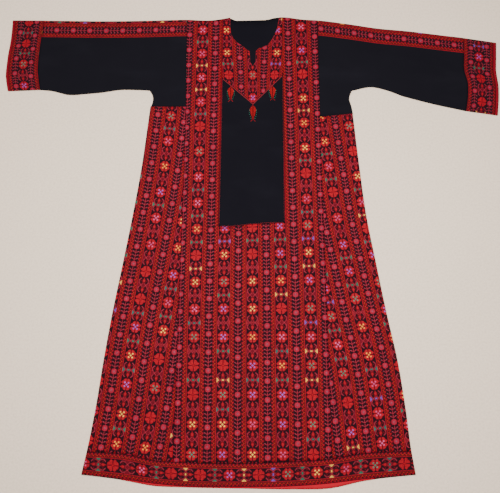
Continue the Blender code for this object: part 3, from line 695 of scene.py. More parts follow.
class Shader(NodeBuilder):
    """Builder of one material's nodes."""

    def __init__(self, name: str) -> None:
        """Start a material.

        Args:
            name: its name.
        """
        self.material = bpy.data.materials.new(name)
        self.material.use_nodes = True
        super().__init__(self.material.node_tree)
        self.principled = self.tree.nodes["Principled BSDF"]

    def math(self, operation: str, *given: "Value | float") -> Value:
        """Add a Math node."""
        node = self.node("ShaderNodeMath", {"operation": operation}, dict(enumerate(given)))
        return Value(self, node.outputs[0])

    def mix(self, factor: "Value | float", low: Any, high: Any) -> bpy.types.NodeSocket:
        """Mix two colours.

        Args:
            factor: 0 for the first and 1 for the second.
            low: the first colour, or the output that gives it.
            high: the second.

        Returns:
            The output.
        """
        colors = [(*one, 1.0) if isinstance(one, tuple) else one for one in (low, high)]
        node = self.node("ShaderNodeMix", {"data_type": "RGBA"},
                         {MIX_FACTOR: factor, MIX_LOW: colors[0], MIX_HIGH: colors[1]})
        return node.outputs[MIX_RESULT]

    def noise(self, scale: float, detail: float = 2.0,
              stretch: tuple[float, float, float] = (1.0, 1.0, 1.0)) -> Value:
        """Noise from 0 to 1 on the piece's own place in metres."""
        place = self.node("ShaderNodeTexCoord").outputs["Object"]
        scaled = self.node("ShaderNodeMapping", {}, {"Vector": place, "Scale": stretch})
        node = self.node("ShaderNodeTexNoise", {"noise_dimensions": "3D"},
                         {"Vector": scaled.outputs[0], "Scale": scale, "Detail": detail})
        return Value(self, node.outputs[0])

    def map_place(self) -> tuple[Value, Value]:
        """Place on the map of stitches, across and along."""
        mapped = self.node("ShaderNodeUVMap", {"uv_map": "stitches"}).outputs[0]
        parts = self.node("ShaderNodeSeparateXYZ", {}, {0: mapped})
        return Value(self, parts.outputs[0]), Value(self, parts.outputs[1])

    def object_place(self) -> tuple[Value, Value, Value]:
        """Place of a point of the piece in metres."""
        place = self.node("ShaderNodeTexCoord").outputs["Object"]
        parts = self.node("ShaderNodeSeparateXYZ", {}, {0: place})
        return tuple(Value(self, output) for output in parts.outputs)

    def surface(self, color: Any, roughness: Any, specular: float) -> None:
        """Give the surface its colour, its roughness and its gloss."""
        self.feed(self.principled.inputs["Base Color"], color)
        self.feed(self.principled.inputs["Roughness"], roughness)
        self.principled.inputs["Specular IOR Level"].default_value = specular

    def bump(self, height: Value, strength: float, distance: float) -> None:
        """Give the surface a relief, at most a distance in metres."""
        inputs = {"Height": height, "Strength": strength, "Distance": distance}
        node = self.node("ShaderNodeBump", {}, inputs)
        self.feed(self.principled.inputs["Normal"], node.outputs[0])


def weave(shader: Shader, threads: float) -> Value:
    """Height of a plain weave on the lying cloth.

    Args:
        shader: the material's node builder.
        threads: threads for each metre.

    Returns:
        A height from 0 to 1.
    """
    x, y, _ = shader.object_place()
    across = shader.math("SINE", x * (threads * math.pi))
    along = shader.math("SINE", y * (threads * math.pi))
    return abs(across * along)


@dataclass(frozen=True)
class BlackCotton:
    """Matte black cotton in a plain weave."""

    color: Color = (0.0042, 0.0038, 0.0062)
    # Lighter tone of faded patches and lint, also the painted highlight on the wrinkles.
    faded_and_highlight: Color = (0.0082, 0.0075, 0.0112)
    roughness: float = 0.9
    specular: float = 0.04
    threads: float = 1100.0
    wrinkle_stretch: tuple[float, float, float] = (0.5, 1.6, 1.0)
    wrinkle_from: float = 0.52

    def base(self, shader: Shader) -> bpy.types.NodeSocket:
        """Colour with faint lint and fading, and a painted highlight along the soft wrinkles."""
        patches = shader.noise(9.0, 3.0)
        lint = shader.noise(900.0, 2.0)
        # The wrinkles term is a painted highlight on the wrinkles; patches and lint are the cloth's
        # own tone.
        tone = patches * 0.4 + lint * 0.15 + self.wrinkles(shader) * 1.6 - 0.12
        return shader.mix(tone, self.color, self.faded_and_highlight)

    def wrinkles(self, shader: Shader) -> Value:
        """Height of the sparse soft wrinkles in the lying cloth; also a painted highlight."""
        return (shader.noise(7.0, 3.0, self.wrinkle_stretch) - self.wrinkle_from).larger(0.0)

    def material(self, name: str) -> bpy.types.Material:
        """Make the material."""
        shader = Shader(name)
        shader.surface(self.base(shader), self.roughness, self.specular)
        relief = weave(shader, self.threads) + shader.noise(60.0, 3.0) * 0.8
        shader.bump(relief + self.wrinkles(shader) * 12.0, 0.35, 0.0003)
        return shader.material


@dataclass(frozen=True)
class RedCotton:
    """Plain red cotton of the rims and the hem's facing."""

    color: Color = (0.46, 0.007, 0.020)
    shade: Color = (0.26, 0.004, 0.012)
    roughness: float = 0.82
    specular: float = 0.08
    threads: float = 900.0

    def material(self, name: str) -> bpy.types.Material:
        """Make the material."""
        shader = Shader(name)
        tone = shader.noise(45.0, 3.0) * 0.7 + weave(shader, self.threads) * 0.25
        shader.surface(shader.mix(tone, self.color, self.shade), self.roughness, self.specular)
        shader.bump(weave(shader, self.threads) + shader.noise(80.0, 2.0), 0.3, 0.0003)
        return shader.material


@dataclass(frozen=True)
class Thread:
    """Stranded embroidery thread, as it lies in single stitches and in cord."""

    color: Color
    roughness: float = 0.6
    specular: float = 0.12
    strands: float = 2600.0
    dark_part: float = 0.6

    def material(self, name: str) -> bpy.types.Material:
        """Make the material."""
        shader = Shader(name)
        x, y, z = shader.object_place()
        twist = shader.math("SINE", (x + y + z) * self.strands) * 0.5 + 0.5
        dark = tuple(part * self.dark_part for part in self.color)
        tone = twist * 0.5 + shader.noise(400.0) * 0.3
        shader.surface(shader.mix(tone, self.color, dark), self.roughness, self.specular)
        shader.bump(twist, 0.4, 0.0001)
        return shader.material


# Charts of one repeat, drawn in letters: K black ground, R bright red, D dark red, A accent, P
# dusty rose, C chevron, T its grey tip, O orange dot. The flower's chart is a quarter: its columns
# run from the strip's middle outwards and its rows from the flower's middle to the accent row. The
# rose's columns run from its middle outwards, and the rope's from the rose strip to the flower's.
FLOWER_CHART = """
AADDKKKKK ADRRRRRKK DRAARRRRK DRAARRRRK KRRRRRRKK KRRRRDKKK KRRRRKKKK KRRRKKKKK KDKKKKKKK
DKKKKKKKK RKKKCCKKK RDKKKCCKK RRDKKKCCK RRDKDDKCK RRDKDKDCK RDDKKKDCK DDDKKKCCD DCDKKDCDA
DDCDDCDAA AADCCDAAA
"""
ROSE_CHART = """
CKKKK PPPDK PPPPK TPPPD TTPPD TPPPD PPPPK PPPDK CKKKK DKKKK CCKKK CDCCK CKKCT CKKKK DKKKK
CCKKK CDCCK CKKCT CKKKK DKKKK CCKKK CDCCK CKKCT CKKKK DKKKK
"""
ROPE_CHART = "DRRKODR DRRRKDR KDKOODR KDKOODR KDRDKDR"
LETTERS = "KRDPACTO"


@dataclass(frozen=True)
class Palette:
    """Thread colours of the cross-stitch."""

    ground: Color = (0.0130, 0.0032, 0.0056)
    bright: Color = (0.420, 0.0040, 0.013)
    dark: Color = (0.130, 0.0015, 0.006)
    rose: Color = (0.400, 0.012, 0.036)
    chevron: Color = (0.300, 0.018, 0.036)
    tip: Color = (0.240, 0.060, 0.100)
    dot: Color = (0.430, 0.020, 0.007)
    petal_tint: float = 0.007
    flower_accents: tuple[Color, ...] = (
        (0.430, 0.004, 0.010), (1.000, 0.560, 0.100), (0.700, 0.120, 0.300),
        (0.430, 0.004, 0.010), (0.320, 0.110, 0.480), (1.000, 0.360, 0.050),
        (0.600, 0.070, 0.200), (0.050, 0.220, 0.150))
    row_accents: tuple[Color, ...] = (
        (0.016, 0.150, 0.095), (0.150, 0.003, 0.012), (0.800, 0.430, 0.070),
        (0.016, 0.150, 0.095), (0.150, 0.070, 0.360), (0.150, 0.003, 0.012),
        (0.020, 0.130, 0.110), (0.260, 0.010, 0.020))


class StripOrder(Enum):
    """How the strips follow each other away from a flower strip."""

    ROPE_BETWEEN = "rope"
    ROSE_NEXT = "rose"


@dataclass(frozen=True)
class CrossStitch:
    """Dense cross-stitch in strips of flowers, roses and ropes on black cotton."""

    palette: Palette = Palette()
    order: StripOrder = StripOrder.ROPE_BETWEEN
    half_drop: bool = False
    seed: float = 3.0
    deep: float = 0.0
    rose_start: int = 0
    limit: float | None = None
    period: int = 40
    rope_from: float = 8.5
    rope_width: int = 7
    rose_from: float = 15.5
    rope_end: int = 15
    flower_rows: int = 39
    accent_from: float = 9.5
    rose_rows: int = 25
    rope_rows: int = 5
    row_scale: float = 32.0
    mask_scale: float = 512.0
    stitch_seed: float = 5.0
    strand_slope: float = 2.2
    single_shade: float = 0.30
    wide_shade: float = 0.30
    rope_shade: float = 0.10
    # Painted shade in the gaps between a cross's two strands, where the ground also partly shows.
    hole_shade: float = 0.28
    roughness: float = 0.74
    specular: float = 0.06
    cotton: BlackCotton = BlackCotton()

    def chart(self, shader: Shader, text: str, row: Value) -> bpy.types.NodeSocket:
        """Ramp that holds a chart.

        Args:
            shader: the material's node builder.
            text: the chart, one word for each row.
            row: the row that is read.

        Returns:
            The three bits of the row's stitches, each as one number over all columns.
        """
        stops = []
        for number, word in enumerate(text.split()):
            bits = [0, 0, 0]
            for column, letter in enumerate(word):
                for bit in range(3):
                    bits[bit] += ((LETTERS.index(letter) >> bit) & 1) << column
            stops.append((number / self.row_scale, tuple(bit / self.mask_scale for bit in bits)))
        place = (row + 0.5) / self.row_scale
        ramp = shader.node("ShaderNodeValToRGB", {"stops": stops}, {0: place})
        return ramp.outputs[0]

    def chance(self, shader: Shader, *key: Value | float) -> Value:
        """Even chance from 0 to 1.

        Args:
            shader: the material's node builder.
            key: the three numbers that it follows from.

        Returns:
            The chance.
        """
        joined = shader.node("ShaderNodeCombineXYZ", {}, dict(enumerate(key)))
        noise = shader.node("ShaderNodeTexWhiteNoise", {"noise_dimensions": "3D"},
                            {"Vector": joined.outputs[0]})
        return Value(shader, noise.outputs[0])

    def accent(self, shader: Shader, strip: Value, motif: Value,
               in_row: Value) -> bpy.types.NodeSocket:
        """Accent colour of a flower, or of the accent row between two flowers.

        Args:
            shader: the material's node builder.
            strip: number of the flower strip.
            motif: number of the flower or row along the strip.
            in_row: 1 in an accent row, or else 0.

        Returns:
            The output.
        """
        chance = self.chance(shader, strip + 0.5, motif + 0.25 * in_row, self.seed)
        tones = self.palette.flower_accents + self.palette.row_accents
        stops = [(index / len(tones), tone) for index, tone in enumerate(tones)]
        ramp = shader.node("ShaderNodeValToRGB", {"stops": stops}, {0: (chance + in_row) * 0.5})
        return ramp.outputs[0]

    def material(self, name: str) -> bpy.types.Material:
        """Make the material."""
        shader = Shader(name)
        across, along = shader.map_place()
        if self.order is StripOrder.ROSE_NEXT:
            beyond = abs(across) > self.rope_from
            sign = (across > 0) * 2 - 1
            across = across + beyond * sign * self.rope_width
        column = (across + 0.5).floor()
        row = (along + 0.5).floor()
        half = self.period // 2
        strip = ((column + half) / self.period).floor()
        away = abs((column + half) % self.period - half)
        in_rose = away > self.rose_from
        in_rope = (away > self.rope_from) * (1 - in_rose)

        flower_row = row + (1 - strip % 2) * (half * float(self.half_drop))
        reach = self.flower_rows // 2
        turned = abs((flower_row + reach) % self.flower_rows - reach)
        in_row = turned > self.accent_from
        motif = (flower_row / self.flower_rows + 0.5 - 0.5 * in_row).floor()
        bits = shader.mix(in_rope, self.chart(shader, FLOWER_CHART, turned),
                          self.chart(shader, ROPE_CHART, row % self.rope_rows))
        shift = (column / self.period).floor() * self.rope_width
        rose_row = (row + shift + self.rose_start) % self.rose_rows
        bits = shader.mix(in_rose, bits, self.chart(shader, ROSE_CHART, rose_row))
        chart_column = in_rose.choose(in_rope.choose(away, self.rope_end - away), half - away)
        parts = shader.node("ShaderNodeSeparateColor", {}, {0: bits})
        place = 2.0 ** chart_column
        first, second, third = (
            ((Value(shader, output) * self.mask_scale + 0.25) / place).floor() % 2
            for output in parts.outputs)

        accent = self.accent(shader, strip, motif, in_row)
        p = self.palette
        in_flower = (1 - in_row) * (away < self.rope_from) * p.petal_tint
        red = shader.mix(first, p.ground, shader.mix(in_flower, p.bright, accent))
        warm = shader.mix(first, p.dark, p.rose)
        cool = shader.mix(first, accent, p.chevron)
        pale = shader.mix(first, p.tip, p.dot)
        thread = shader.mix(third, shader.mix(second, red, warm), shader.mix(second, cool, pale))
        stitched = first.larger(second).larger(third)

        cell_x, cell_y = across + 0.5 - column, along + 0.5 - row
        rising = abs(cell_x - cell_y)
        falling = abs(cell_x + cell_y - 1)
        strand = (1 - rising * self.strand_slope).larger(1 - falling * self.strand_slope)
        strand = strand.larger(0.0)
        # darker thread, the piece's deeper colour, and painted shade between each cross's strands.
        # shade darkens the thread towards the ground: random tone per stitch and in wide patches,
        # the ropes'
        shade = self.chance(shader, column, row, self.stitch_seed) * self.single_shade
        shade = shade + shader.noise(14.0, 3.0) * self.wide_shade
        shade = shade + in_rope * self.rope_shade + self.deep + (1 - strand) * self.hole_shade
        color, cover = shader.mix(stitched * shade, thread, p.ground), stitched
        if self.limit is not None:
            outside = abs(across) > self.limit
            # Beyond the band the sleeve takes the black cotton's colour, with its painted wrinkle
            # highlight.
            color = shader.mix(outside, color, self.cotton.base(shader))
            cover = stitched * (1 - outside)
        shader.surface(color, cover.choose(self.cotton.roughness, self.roughness), self.specular)
        relief = cover * (strand * 0.8 + 0.4) + weave(shader, self.cotton.threads) * 0.2
        shader.bump(relief + shader.noise(60.0, 3.0) * 0.4, 0.4, 0.0004)
        return shader.material


def placed(name: str, data: Any) -> bpy.types.Object:
    """New object in the scene.

    Args:
        name: its name.
        data: its mesh, lamp or camera.

    Returns:
        The object.
    """
    made = bpy.data.objects.new(name, data)
    bpy.context.scene.collection.objects.link(made)
    return made


@dataclass
class ClothPiece:
    """A cut piece of the laid garment, which replaces the solid of the same name."""

    name: str
    slot: str
    flat: tuple[float, float]
    area: float
    rests_on: tuple[str, ...]
    thickness: float = CLOTH
    plan: Plan = field(default_factory=Plan)
    relief: Relief | None = None

    def shape(self) -> Shape:
        """Middle surface of the cloth."""
        raise NotImplementedError

    def grid_shape(self, x: Array, y: Array, z: Array, mapped: Array,
                   kept: Array | None = None) -> Shape:
        """Piece that lies in one layer.

        Args:
            x: grid of places across.
            y: grid of places along.
            z: grid of heights.
            mapped: grid of map places.
            kept: which cells get a face, or all.

        Returns:
            The shape.
        """
        numbers = np.arange(x.size).reshape(x.shape)
        cells = np.ones((x.shape[0] - 1, x.shape[1] - 1), bool) if kept is None else kept
        faces, places = layer(numbers, x, y, mapped, cells, True)
        return used_only(faces, np.column_stack([x.ravel(), y.ravel(), z.ravel()]), places)

    def folded_shape(self, x: Array, y: Array, folded: Array, upper_map: Array, lower_map: Array,
                     kept: Array | None = None, back_y: Array | None = None) -> Shape:
        """Piece that turns under itself at its folds.

        Args:
            x: grid of places across.
            y: grid of places along, of the upper layer.
            folded: grid points on a fold, where the layers share one point.
            upper_map: map places of the upper layer.
            lower_map: map places of the lower layer.
            kept: which cells get a face, or all.
            back_y: places along of the lower layer, where they are others.

        Returns:
            The shape.
        """
        lower_y = y if back_y is None else back_y
        count = x.size
        numbers = np.arange(count).reshape(x.shape)
        below = np.where(folded, numbers, numbers + count)
        cells = np.ones((x.shape[0] - 1, x.shape[1] - 1), bool) if kept is None else kept
        upper, upper_places = layer(numbers, x, y, upper_map, cells, True)
        lower, lower_places = layer(below, x, lower_y, lower_map, cells, False)
        points = np.concatenate([
            np.column_stack([x.ravel(), y.ravel(), self.relief.front(x, y).ravel()]),
            np.column_stack([x.ravel(), lower_y.ravel(), self.relief.back(x, lower_y).ravel()]),
        ])
        return used_only(upper + lower, points, upper_places + lower_places)

    def build(self, material: bpy.types.Material) -> bpy.types.Object:
        """Make the piece.

        Args:
            material: its finish.

        Returns:
            The finished object.
        """
        shape = self.shape()
        mesh = bpy.data.meshes.new(f"{self.name}_cloth")
        mesh.from_pydata([tuple(point) for point in metres(shape.points)], [], shape.faces)
        stitches = mesh.uv_layers.new(name="stitches")
        stitches.data.foreach_set("uv", np.array(shape.places).ravel())
        mesh.shade_smooth()
        mesh.materials.append(material)
        piece = placed(f"{self.name}_cloth", mesh)
        wall = piece.modifiers.new("wall", "SOLIDIFY")
        wall.thickness = self.thickness * MM
        wall.offset = 0.0
        wall.use_even_offset = True
        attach(piece, "root")
        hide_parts(self.name)
        log.info("%s: %d faces", piece.name, len(shape.faces))
        return piece


@dataclass
class StripMap:
    """Where the embroidered strips of the front lie: x of two roses on each side, by height."""

    roses: Table = Table(
        "y outer_left inner_left inner_right outer_right",
        (0, -204.5, -122.5, 122.5, 204.5), (480, -203.5, -122, 122, 203.5),
        (1225, -193.3, -112.8, 110.4, 192.1), (1380, -191, -111, 108.5, 190))
    first_row: float = 322.7
    period: float = 78.2
    rows: int = 39
    inner_rose: float = 60.0
    rose_step: float = 40.0
    tilt: float = 0.037
    tilt_start: float = 400.0
    tilt_run: float = 300.0

    def places(self, x: Array, y: Array) -> Array:
        """Map places of points of the plan."""
        left = self.roses.straight("inner_left", y)
        right = self.roses.straight("inner_right", y)
        inner, step = self.inner_rose, self.rose_step
        middle = -inner + (x - left) / (right - left) * 2 * inner
        outer_left = self.roses.straight("outer_left", y)
        outer_right = self.roses.straight("outer_right", y)
        low = -inner + (x - left) / (left - outer_left) * step
        high = inner + (x - right) / (outer_right - right) * step
        across = np.where(x < left, low, np.where(x > right, high, middle))
        lean = self.tilt * np.clip((y - self.tilt_start) / self.tilt_run, 0, 1)
        along = (y - self.first_row - lean * x) / self.period * self.rows
        return np.dstack([across, along])


@dataclass
class Panel(ClothPiece):
    """Middle panel, whose grid lines follow its seams and the chest window's edges."""

    strip_lines: int = 4
    centre_lines: int = 14
    inset: float = 0.0

    def panel_grid(self, rows: int, row_y: Callable[[Array], Array]) -> tuple[Array, Array]:
        """Plan of the panel.

        Args:
            rows: number of cells along it.
            row_y: y of the rows at given x.

        Returns:
            x and y of the grid points.
        """
        plan = self.plan
        strip = np.linspace(0, 1, self.strip_lines + 1)
        centre = np.linspace(0, 1, self.centre_lines + 1)[1:-1]
        share = np.linspace(0, 1, rows + 1)[:, None]
        start = np.repeat(plan.hem_start + share * (plan.shoulder - plan.hem_start),
                          2 * len(strip) + len(centre), axis=1)
        return plan.settled(lambda y: plan.panel_x(y, strip, centre, self.inset), row_y, start)


@dataclass
class FrontPanel(Panel):
    """Embroidered front, open at the chest window."""

    strip_lines: int = 14
    centre_lines: int = 24
    inset: float = SEAM_GAP / 2
    strips: StripMap = field(default_factory=StripMap)
    skirt_rows: int = 80
    chest_rows: int = 82

    def shape(self) -> Shape:
        """Middle surface of the cloth."""
        plan, skirt = self.plan, self.skirt_rows
        low_share = np.linspace(0, 1, skirt + 1)[:, None]
        high_share = np.linspace(0, 1, self.chest_rows + 1)[1:, None]

        def row_y(x: Array) -> Array:
            low = plan.hem.curve("seam", x[:skirt + 1]) + SEAM_GAP / 2
            sill = plan.sill.straight("y", x) - SEAM_GAP / 2
            below = low + low_share * (sill[:skirt + 1] - low)
            above = sill[skirt + 1:] + high_share * (plan.top(x[skirt + 1:]) - sill[skirt + 1:])
            return np.concatenate([below, above])

        x, y = self.panel_grid(skirt + self.chest_rows, row_y)
        cells = np.ones((x.shape[0] - 1, x.shape[1] - 1), bool)
        cells[skirt:, self.strip_lines:self.strip_lines + self.centre_lines] = False
        return self.grid_shape(x, y, self.relief.front(x, y), self.strips.places(x, y), cells)


@dataclass
class BackPanel(Panel):
    """Plain back, which shows through the neck opening."""

    rows: int = 48

    def shape(self) -> Shape:
        """Middle surface of the cloth."""
        plan = self.plan
        share = np.linspace(0, 1, self.rows + 1)[:, None]

        def row_y(x: Array) -> Array:
            low = plan.hem.curve("seam", x) + SEAM_GAP / 2
            return low + share * (plan.back_top(x) - low)

        x, y = self.panel_grid(self.rows, row_y)
        z = np.full(x.shape, self.relief.back_level)
        return self.grid_shape(x, y, z, np.dstack([x, y]) / STITCH)


@dataclass
class ChestInsert(ClothPiece):
    """Plain insert from the window's sill to just under the yoke's V edge."""

    lines: int = 26
    rows: int = 60
    overlap: float = 8.0
    first_low: float = 715.0

    def shape(self) -> Shape:
        """Middle surface of the cloth."""
        plan = self.plan
        share = np.linspace(0, 1, self.rows + 1)[:, None]
        across = np.linspace(0, 1, self.lines + 1)

        def column_x(y: Array) -> Array:
            left = plan.window.straight("left", y) + SEAM_GAP / 2
            right = plan.window.straight("right", y) - SEAM_GAP / 2
            return left + across * (right - left)

        def row_y(x: Array) -> Array:
            low = plan.sill.straight("y", x) + SEAM_GAP / 2
            return low + share * (plan.v_edge(x) + self.overlap - low)

        rise = share * (plan.v_point[1] - self.first_low)
        start = np.repeat(self.first_low + rise, self.lines + 1, axis=1)
        x, y = plan.settled(column_x, row_y, start)
        return self.grid_shape(x, y, self.relief.front(x, y), np.dstack([x, y]) / STITCH)


@dataclass
class Yoke(ClothPiece):
    """Embroidered neck piece with the round neckline, the slit and the V edge."""

    flowers: Table = Table(
        "y left centre right",
        (1093, -66, 2, 62), (1185, -71, 1.5, 67), (1256, -77, 0, 75), (1377, -80, 0, 78))
    flower_row: float = 1185.0
    flower_step: float = 40.0
    stitch: float = 1.9
    refine: int = 7
    across: int = 20
    raised: float = CLOTH + SEAM_GAP
    raised_full: float = 15.0
    raised_end: float = 32.0

    def shape(self) -> Shape:
        """Middle surface of the cloth."""
        spans = len(self.plan.neckline.rows) - 1
        neck, rim = self.plan.neck_and_rim(spans * self.refine + 1)
        share = np.linspace(0, 1, self.across + 1)[:, None]
        x, y = (neck[:, axis] + share * (rim[:, axis] - neck[:, axis]) for axis in (0, 1))
        end = self.plan.v_end
        edge = np.array([self.plan.yoke_rim(place) for place in (-end, 0.0, end)])
        raised = fade(distance_to_path(edge, x, y), self.raised_full, self.raised_end)
        z = self.relief.front(x, y) + self.raised * raised
        left, centre, right = (
            self.flowers.straight(name, y) for name in ("left", "centre", "right"))
        half_left = (x - centre) / (centre - left) * self.flower_step
        half_right = (x - centre) / (right - centre) * self.flower_step
        u = np.where(x < centre, half_left, half_right)
        return self.grid_shape(x, y, z, np.dstack([u, (y - self.flower_row) / self.stitch]))


@dataclass
class SideGore(ClothPiece):
    """Flared side panel, from the front seam round the side fold to the back seam."""

    side: Side = Side.LEFT
    at_fold: Table = Table("y u", (36, 1.7), (1083, 7.3))
    stitch_across: float = 1.98
    lean: float = 0.125
    first_row: float = 125.0
    stitch_along: float = 2.0

    def shape(self) -> Shape:
        """Middle surface of the cloth."""
        x, y = self.plan.gore_grid(self.side)
        folded = np.zeros(x.shape, bool)
        folded[:, 0] = True
        inside = np.abs(x - self.plan.side_folds.curve(self.side.value, y))
        start = self.at_fold.straight("u", y)
        steps = inside / self.stitch_across
        v = (y + self.lean * inside - self.first_row) / self.stitch_along
        back_v = (y - self.lean * inside - self.first_row) / self.stitch_along
        return self.folded_shape(
            x, y, folded, np.dstack([start + steps, v]), np.dstack([start - steps, back_v]))


@dataclass
class Sleeve(ClothPiece):
    """Black sleeve with its underarm corner, and the embroidered band along its upper fold."""

    side: Side = Side.LEFT
    at_fold: float = 4.7

    def shape(self) -> Shape:
        """Middle surface of the cloth."""
        plan, side = self.plan, self.side
        tube, body = plan.sleeve_stations(side), plan.body_stations(side)
        corner = plan.underarm_fold(side)[1:]
        rings = len(plan.ring_places())
        full = [np.concatenate([line, np.repeat(line[-1:], len(corner), axis=0)])
                for line in tube[:-1]]
        grid = np.array(full + [np.concatenate([tube[-1], corner])] + body)
        x, y = grid[..., 0], grid[..., 1]
        last = len(tube) - 1
        cells = np.ones((x.shape[0] - 1, x.shape[1] - 1), bool)
        cells[:last, rings - 1:] = False
        folded = np.zeros(x.shape, bool)
        folded[:, 0] = True
        folded[:last + 1, rings - 1] = True
        folded[last, rings - 1:] = True
        down = np.hypot(x - x[:, :1], y - y[:, :1]) / STITCH
        along = x / STITCH
        return self.folded_shape(
            x, y, folded, np.dstack([self.at_fold + down, along]),
            np.dstack([self.at_fold - down, along]), cells)


@dataclass
class CuffBand(ClothPiece):
    """Band round a sleeve's end: the embroidered cuff, or the red binding on its rim."""

    side: Side = Side.LEFT
    start: float = 0.0
    end: float = 1.0
    lines: int = 12
    first_flower: float = 76.0
    stitch_along: float = 1.846
    stitch_across: float = 1.8

    def shape(self) -> Shape:
        """Middle surface of the cloth."""
        places = self.plan.ring_places()
        shares = np.linspace(self.start, self.end, self.lines + 1)
        grid = np.array([self.plan.cuff_line(self.side, places, share) for share in shares])
        x, y = grid[..., 0], grid[..., 1]
        folded = np.zeros(x.shape, bool)
        folded[:, 0] = folded[:, -1] = True
        middle = (shares - (self.start + self.end) / 2) * self.plan.cuff_width
        u = np.repeat((middle / self.stitch_across)[:, None], len(places), axis=1)
        round_it = places[None, :] * self.plan.ring_height * np.ones((len(shares), 1))
        v = (round_it - self.first_flower) / self.stitch_along
        back_v = (-round_it - self.first_flower) / self.stitch_along
        return self.folded_shape(x, y, folded, np.dstack([u, v]), np.dstack([u, back_v]))


@dataclass
class HemBand(ClothPiece):
    """Embroidered band round the bottom, longer at the back than at the front."""

    rows: int = 8
    stitches_high: float = 31.0
    flower_x: float = -61.9
    stitch_along: float = 2.0

    def shape(self) -> Shape:
        """Middle surface of the cloth."""
        plan = self.plan
        left_x, _ = plan.gore_grid(Side.LEFT)
        right_x, _ = plan.gore_grid(Side.RIGHT)
        middle = spread(left_x[0, -1], right_x[0, -1], plan.cell)[:-1]
        seam_x = np.concatenate([left_x[0], middle, right_x[0][::-1]])
        seam_y = plan.hem.curve("seam", seam_x) - SEAM_GAP / 2
        low_left = float(plan.side_folds.columns["left"][0])
        low_right = float(plan.side_folds.columns["right"][0])
        near = plan.near[-1]
        from_left, from_right = seam_x - seam_x[0], seam_x[-1] - seam_x
        stretch = (low_right - low_left - 2 * near) / (seam_x[-1] - seam_x[0] - 2 * near)
        low_x = low_left + near + (from_left - near) * stretch
        low_x = np.where(from_left <= near, low_left + from_left, low_x)
        low_x = np.where(from_right <= near, low_right - from_right, low_x)
        share = np.linspace(0, 1, self.rows + 1)[:, None]
        front_low, back_low = plan.hem.curve("front", low_x), plan.hem.curve("back", low_x)
        x = low_x + share * (seam_x - low_x)
        y = front_low + share * (seam_y - front_low)
        back_y = back_low + share * (seam_y - back_low)
        folded = np.zeros(x.shape, bool)
        folded[:, 0] = folded[:, -1] = True
        u = np.repeat((share - 0.5) * self.stitches_high, x.shape[1], axis=1)
        v = (x - self.flower_x) / self.stitch_along
        back_v = 2 * v[:, :1] - v
        return self.folded_shape(
            x, y, folded, np.dstack([u, v]), np.dstack([u, back_v]), back_y=back_y)


@dataclass
class HemFacing(ClothPiece):
    """Plain red strip on the inner side of the back hem."""

    left: float = -350.0
    right: float = 326.0
    tuck: float = 14.0
    rows: int = 4
    level: float = CLOTH + SEAM_GAP + FACING_CLOTH / 2

    def shape(self) -> Shape:
        """Middle surface of the cloth."""
        across = np.array([self.left] + spread(self.left, self.right, self.plan.cell))
        low = self.plan.hem.curve("back", across)
        high = self.plan.hem.curve("front", across) + self.tuck
        share = np.linspace(0, 1, self.rows + 1)[:, None]
        x = np.repeat(across[None, :], len(share), axis=0)
        y = low + share * (high - low)
        return self.grid_shape(x, y, np.full(x.shape, self.level), np.dstack([x, y]) / STITCH)


class StitchTree(NodeBuilder):
    """A Geometry Nodes tree that puts one kind of stitch on points or along a line."""

    def __init__(self, name: str, *floats: str) -> None:
        """Start a tree with a geometry in and out.

        Args:
            name: the tree's name.
            floats: the names of its number inputs.
        """
        super().__init__(bpy.data.node_groups.new(name, "GeometryNodeTree"))
        for way in ("INPUT", "OUTPUT"):
            self.tree.interface.new_socket(
                "Geometry", in_out=way, socket_type="NodeSocketGeometry")
        self.sockets: dict[str, str] = {}
        self.given = self.tree.nodes.new("NodeGroupInput")
        self.result = self.tree.nodes.new("NodeGroupOutput")
        for key in floats:
            self.setting(key, "NodeSocketFloat")
        self.setting("Material", "NodeSocketMaterial")

    def setting(self, name: str, kind: str) -> None:
        """Add a named input of a socket kind."""
        socket = self.tree.interface.new_socket(name, in_out="INPUT", socket_type=kind)
        self.sockets[name] = socket.identifier

    def strand(self, turn: float, lift: bpy.types.NodeSocket | None,
               upright: bool) -> bpy.types.NodeSocket:
        """One strand of thread as a slim rounded body.

        Args:
            turn: its turn about the vertical, in degrees.
            lift: how high it lies over the other one, if at all.
            upright: whether it lies along z, as on a line, and not on the cloth.

        Returns:
            The output with its mesh.
        """
        ball = self.node("GeometryNodeMeshUVSphere", {},
                         {"Segments": 6, "Rings": 4, "Radius": 1.0})
        length, radius = self.given.outputs["Half Length"], self.given.outputs["Thread Radius"]
        order = {"X": radius, "Y": radius, "Z": length} if upright else {
            "X": length, "Y": radius, "Z": radius}
        scale = self.node("ShaderNodeCombineXYZ", {}, order)
        place = self.node("ShaderNodeCombineXYZ", {}, {} if lift is None else {"Z": lift})
        shaped = self.node("GeometryNodeTransform", {}, {
            "Geometry": ball.outputs["Mesh"], "Scale": scale.outputs[0]})
        turned = self.node("GeometryNodeTransform", {}, {
            "Geometry": shaped.outputs[0], "Translation": place.outputs[0],
            "Rotation": (0.0, 0.0, math.radians(turn))})
        return turned.outputs[0]

    def finish(self, points: bpy.types.NodeSocket, stitch: bpy.types.NodeSocket,
               rotation: bpy.types.NodeSocket | None = None) -> None:
        """Put the stitch on the points and make it real.

        Args:
            points: the places.
            stitch: the stitch's mesh.
            rotation: how it turns at each place, if it does.
        """
        inputs: dict[int | str, Any] = {"Points": points, "Instance": stitch}
        if rotation is not None:
            inputs["Rotation"] = rotation
        placed = self.node("GeometryNodeInstanceOnPoints", {}, inputs)
        real = self.node("GeometryNodeRealizeInstances", {}, {0: placed.outputs[0]})
        smooth = self.node("GeometryNodeSetShadeSmooth", {}, {0: real.outputs[0]})
        dressed = self.node("GeometryNodeSetMaterial", {}, {
            "Geometry": smooth.outputs[0], "Material": self.given.outputs["Material"]})
        self.tree.links.new(dressed.outputs[0], self.result.inputs[0])


